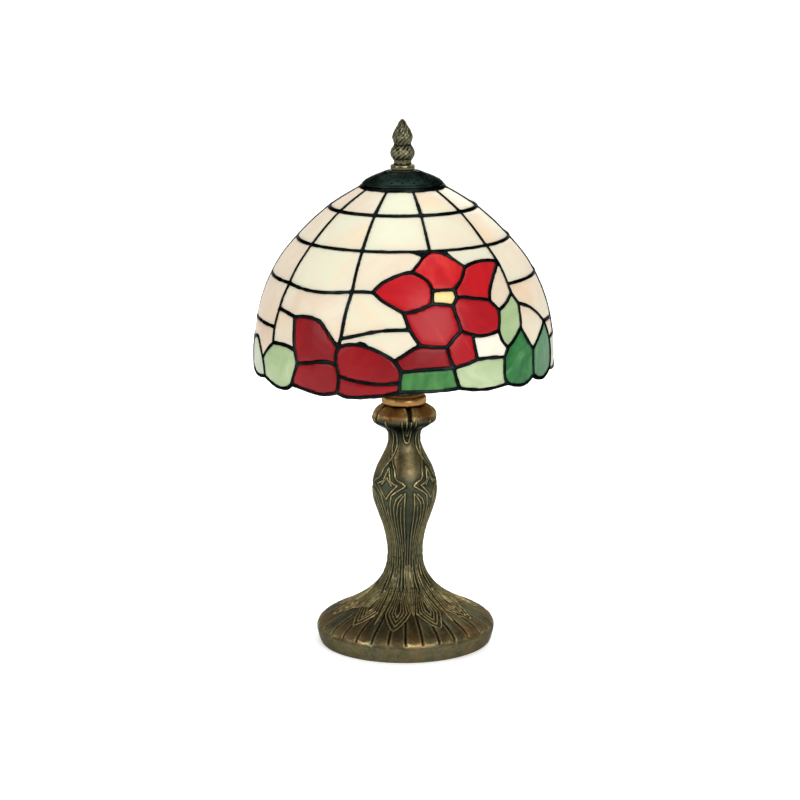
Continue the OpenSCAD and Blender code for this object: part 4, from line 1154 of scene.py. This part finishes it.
LAMP_MIDDLE = Vector((0, 0, 0.18))


def area_light(name, place, size, power, colour=(1, 1, 1)):
    data = bpy.data.lights.new(name, "AREA")
    data.shape, data.size, data.size_y = "RECTANGLE", size[0], size[1]
    data.energy, data.color = power, colour
    lamp = new_object(name, data)
    lamp.location = place
    lamp.rotation_euler = (LAMP_MIDDLE - Vector(place)).to_track_quat("-Z", "Y").to_euler()


def build_room():
    floor = bpy.data.meshes.new("floor")
    side, back, tall, front = 14.0, 3.0, 3.0, -14.0  # metres
    curve = [(front, 0.0)] + [(back - 1 + math.sin(a), 1 - math.cos(a))
                             for a in np.linspace(0, math.pi / 2, 16)] + [(back, tall)]
    points = [(x, y, z) for y, z in curve for x in (-side, side)]
    faces = [(2 * i, 2 * i + 1, 2 * i + 3, 2 * i + 2) for i in range(len(curve) - 1)]
    floor.from_pydata(points, [], faces)
    floor.shade_smooth()
    s = Shader("studio_paper")
    grain = s.noise(s.coords(), 400, 3)
    floor.materials.append(s.done(s.face({
        "Base Color": s.ramp(grain, [(0.3, (0.90, 0.90, 0.90)), (0.7, (0.93, 0.93, 0.93))]),
        "Roughness": 0.7, "Emission Color": (1, 1, 1, 1), "Emission Strength": 0.36})))
    paper = new_object("floor", floor)
    area_light("key_right", (0.75, -1.7, 1.1), (1.2, 1.4), 28, (1.0, 0.985, 0.96))
    area_light("fill_left", (-1.6, -1.0, 1.0), (0.8, 1.2), 13, (0.97, 0.985, 1.0))
    area_light("top", (0.0, 0.2, 2.0), (1.5, 1.5), 24)
    area_light("back", (0.4, 1.6, 1.2), (1.0, 1.0), 10)
    world = bpy.data.worlds.new("room")
    bpy.context.scene.world = world
    world.use_nodes = True
    world.node_tree.nodes["Background"].inputs["Color"].default_value = (1, 1, 1, 1)
    world.node_tree.nodes["Background"].inputs["Strength"].default_value = 0.34
    bpy.context.scene.view_settings.view_transform = "Standard"


CAMERA_AT = (0, -1.757, 0.552)
CAMERA_DOWN = 12.05
CAMERA_ROLL = -0.36
CAMERA_LENS = 120.7
CAMERA_SHIFT = (-0.005, -0.0195)


def build_camera():
    data = bpy.data.cameras.new("camera")
    data.lens, data.sensor_width = CAMERA_LENS, 36
    data.shift_x, data.shift_y = CAMERA_SHIFT
    camera = new_object("camera", data)
    camera.location = CAMERA_AT
    camera.rotation_euler = (Matrix.Rotation(math.radians(90 - CAMERA_DOWN), 4, "X")
                             @ Matrix.Rotation(math.radians(CAMERA_ROLL), 4, "Z")).to_euler()
    bpy.context.scene.camera = camera


PROFILE = base_profile(0.5)
outlines, solder_lumps = build_glass()
build_seams(outlines, solder_lumps)
build_base()
build_neck_ring()
build_finial()
dress_carried()
build_room()
build_camera()
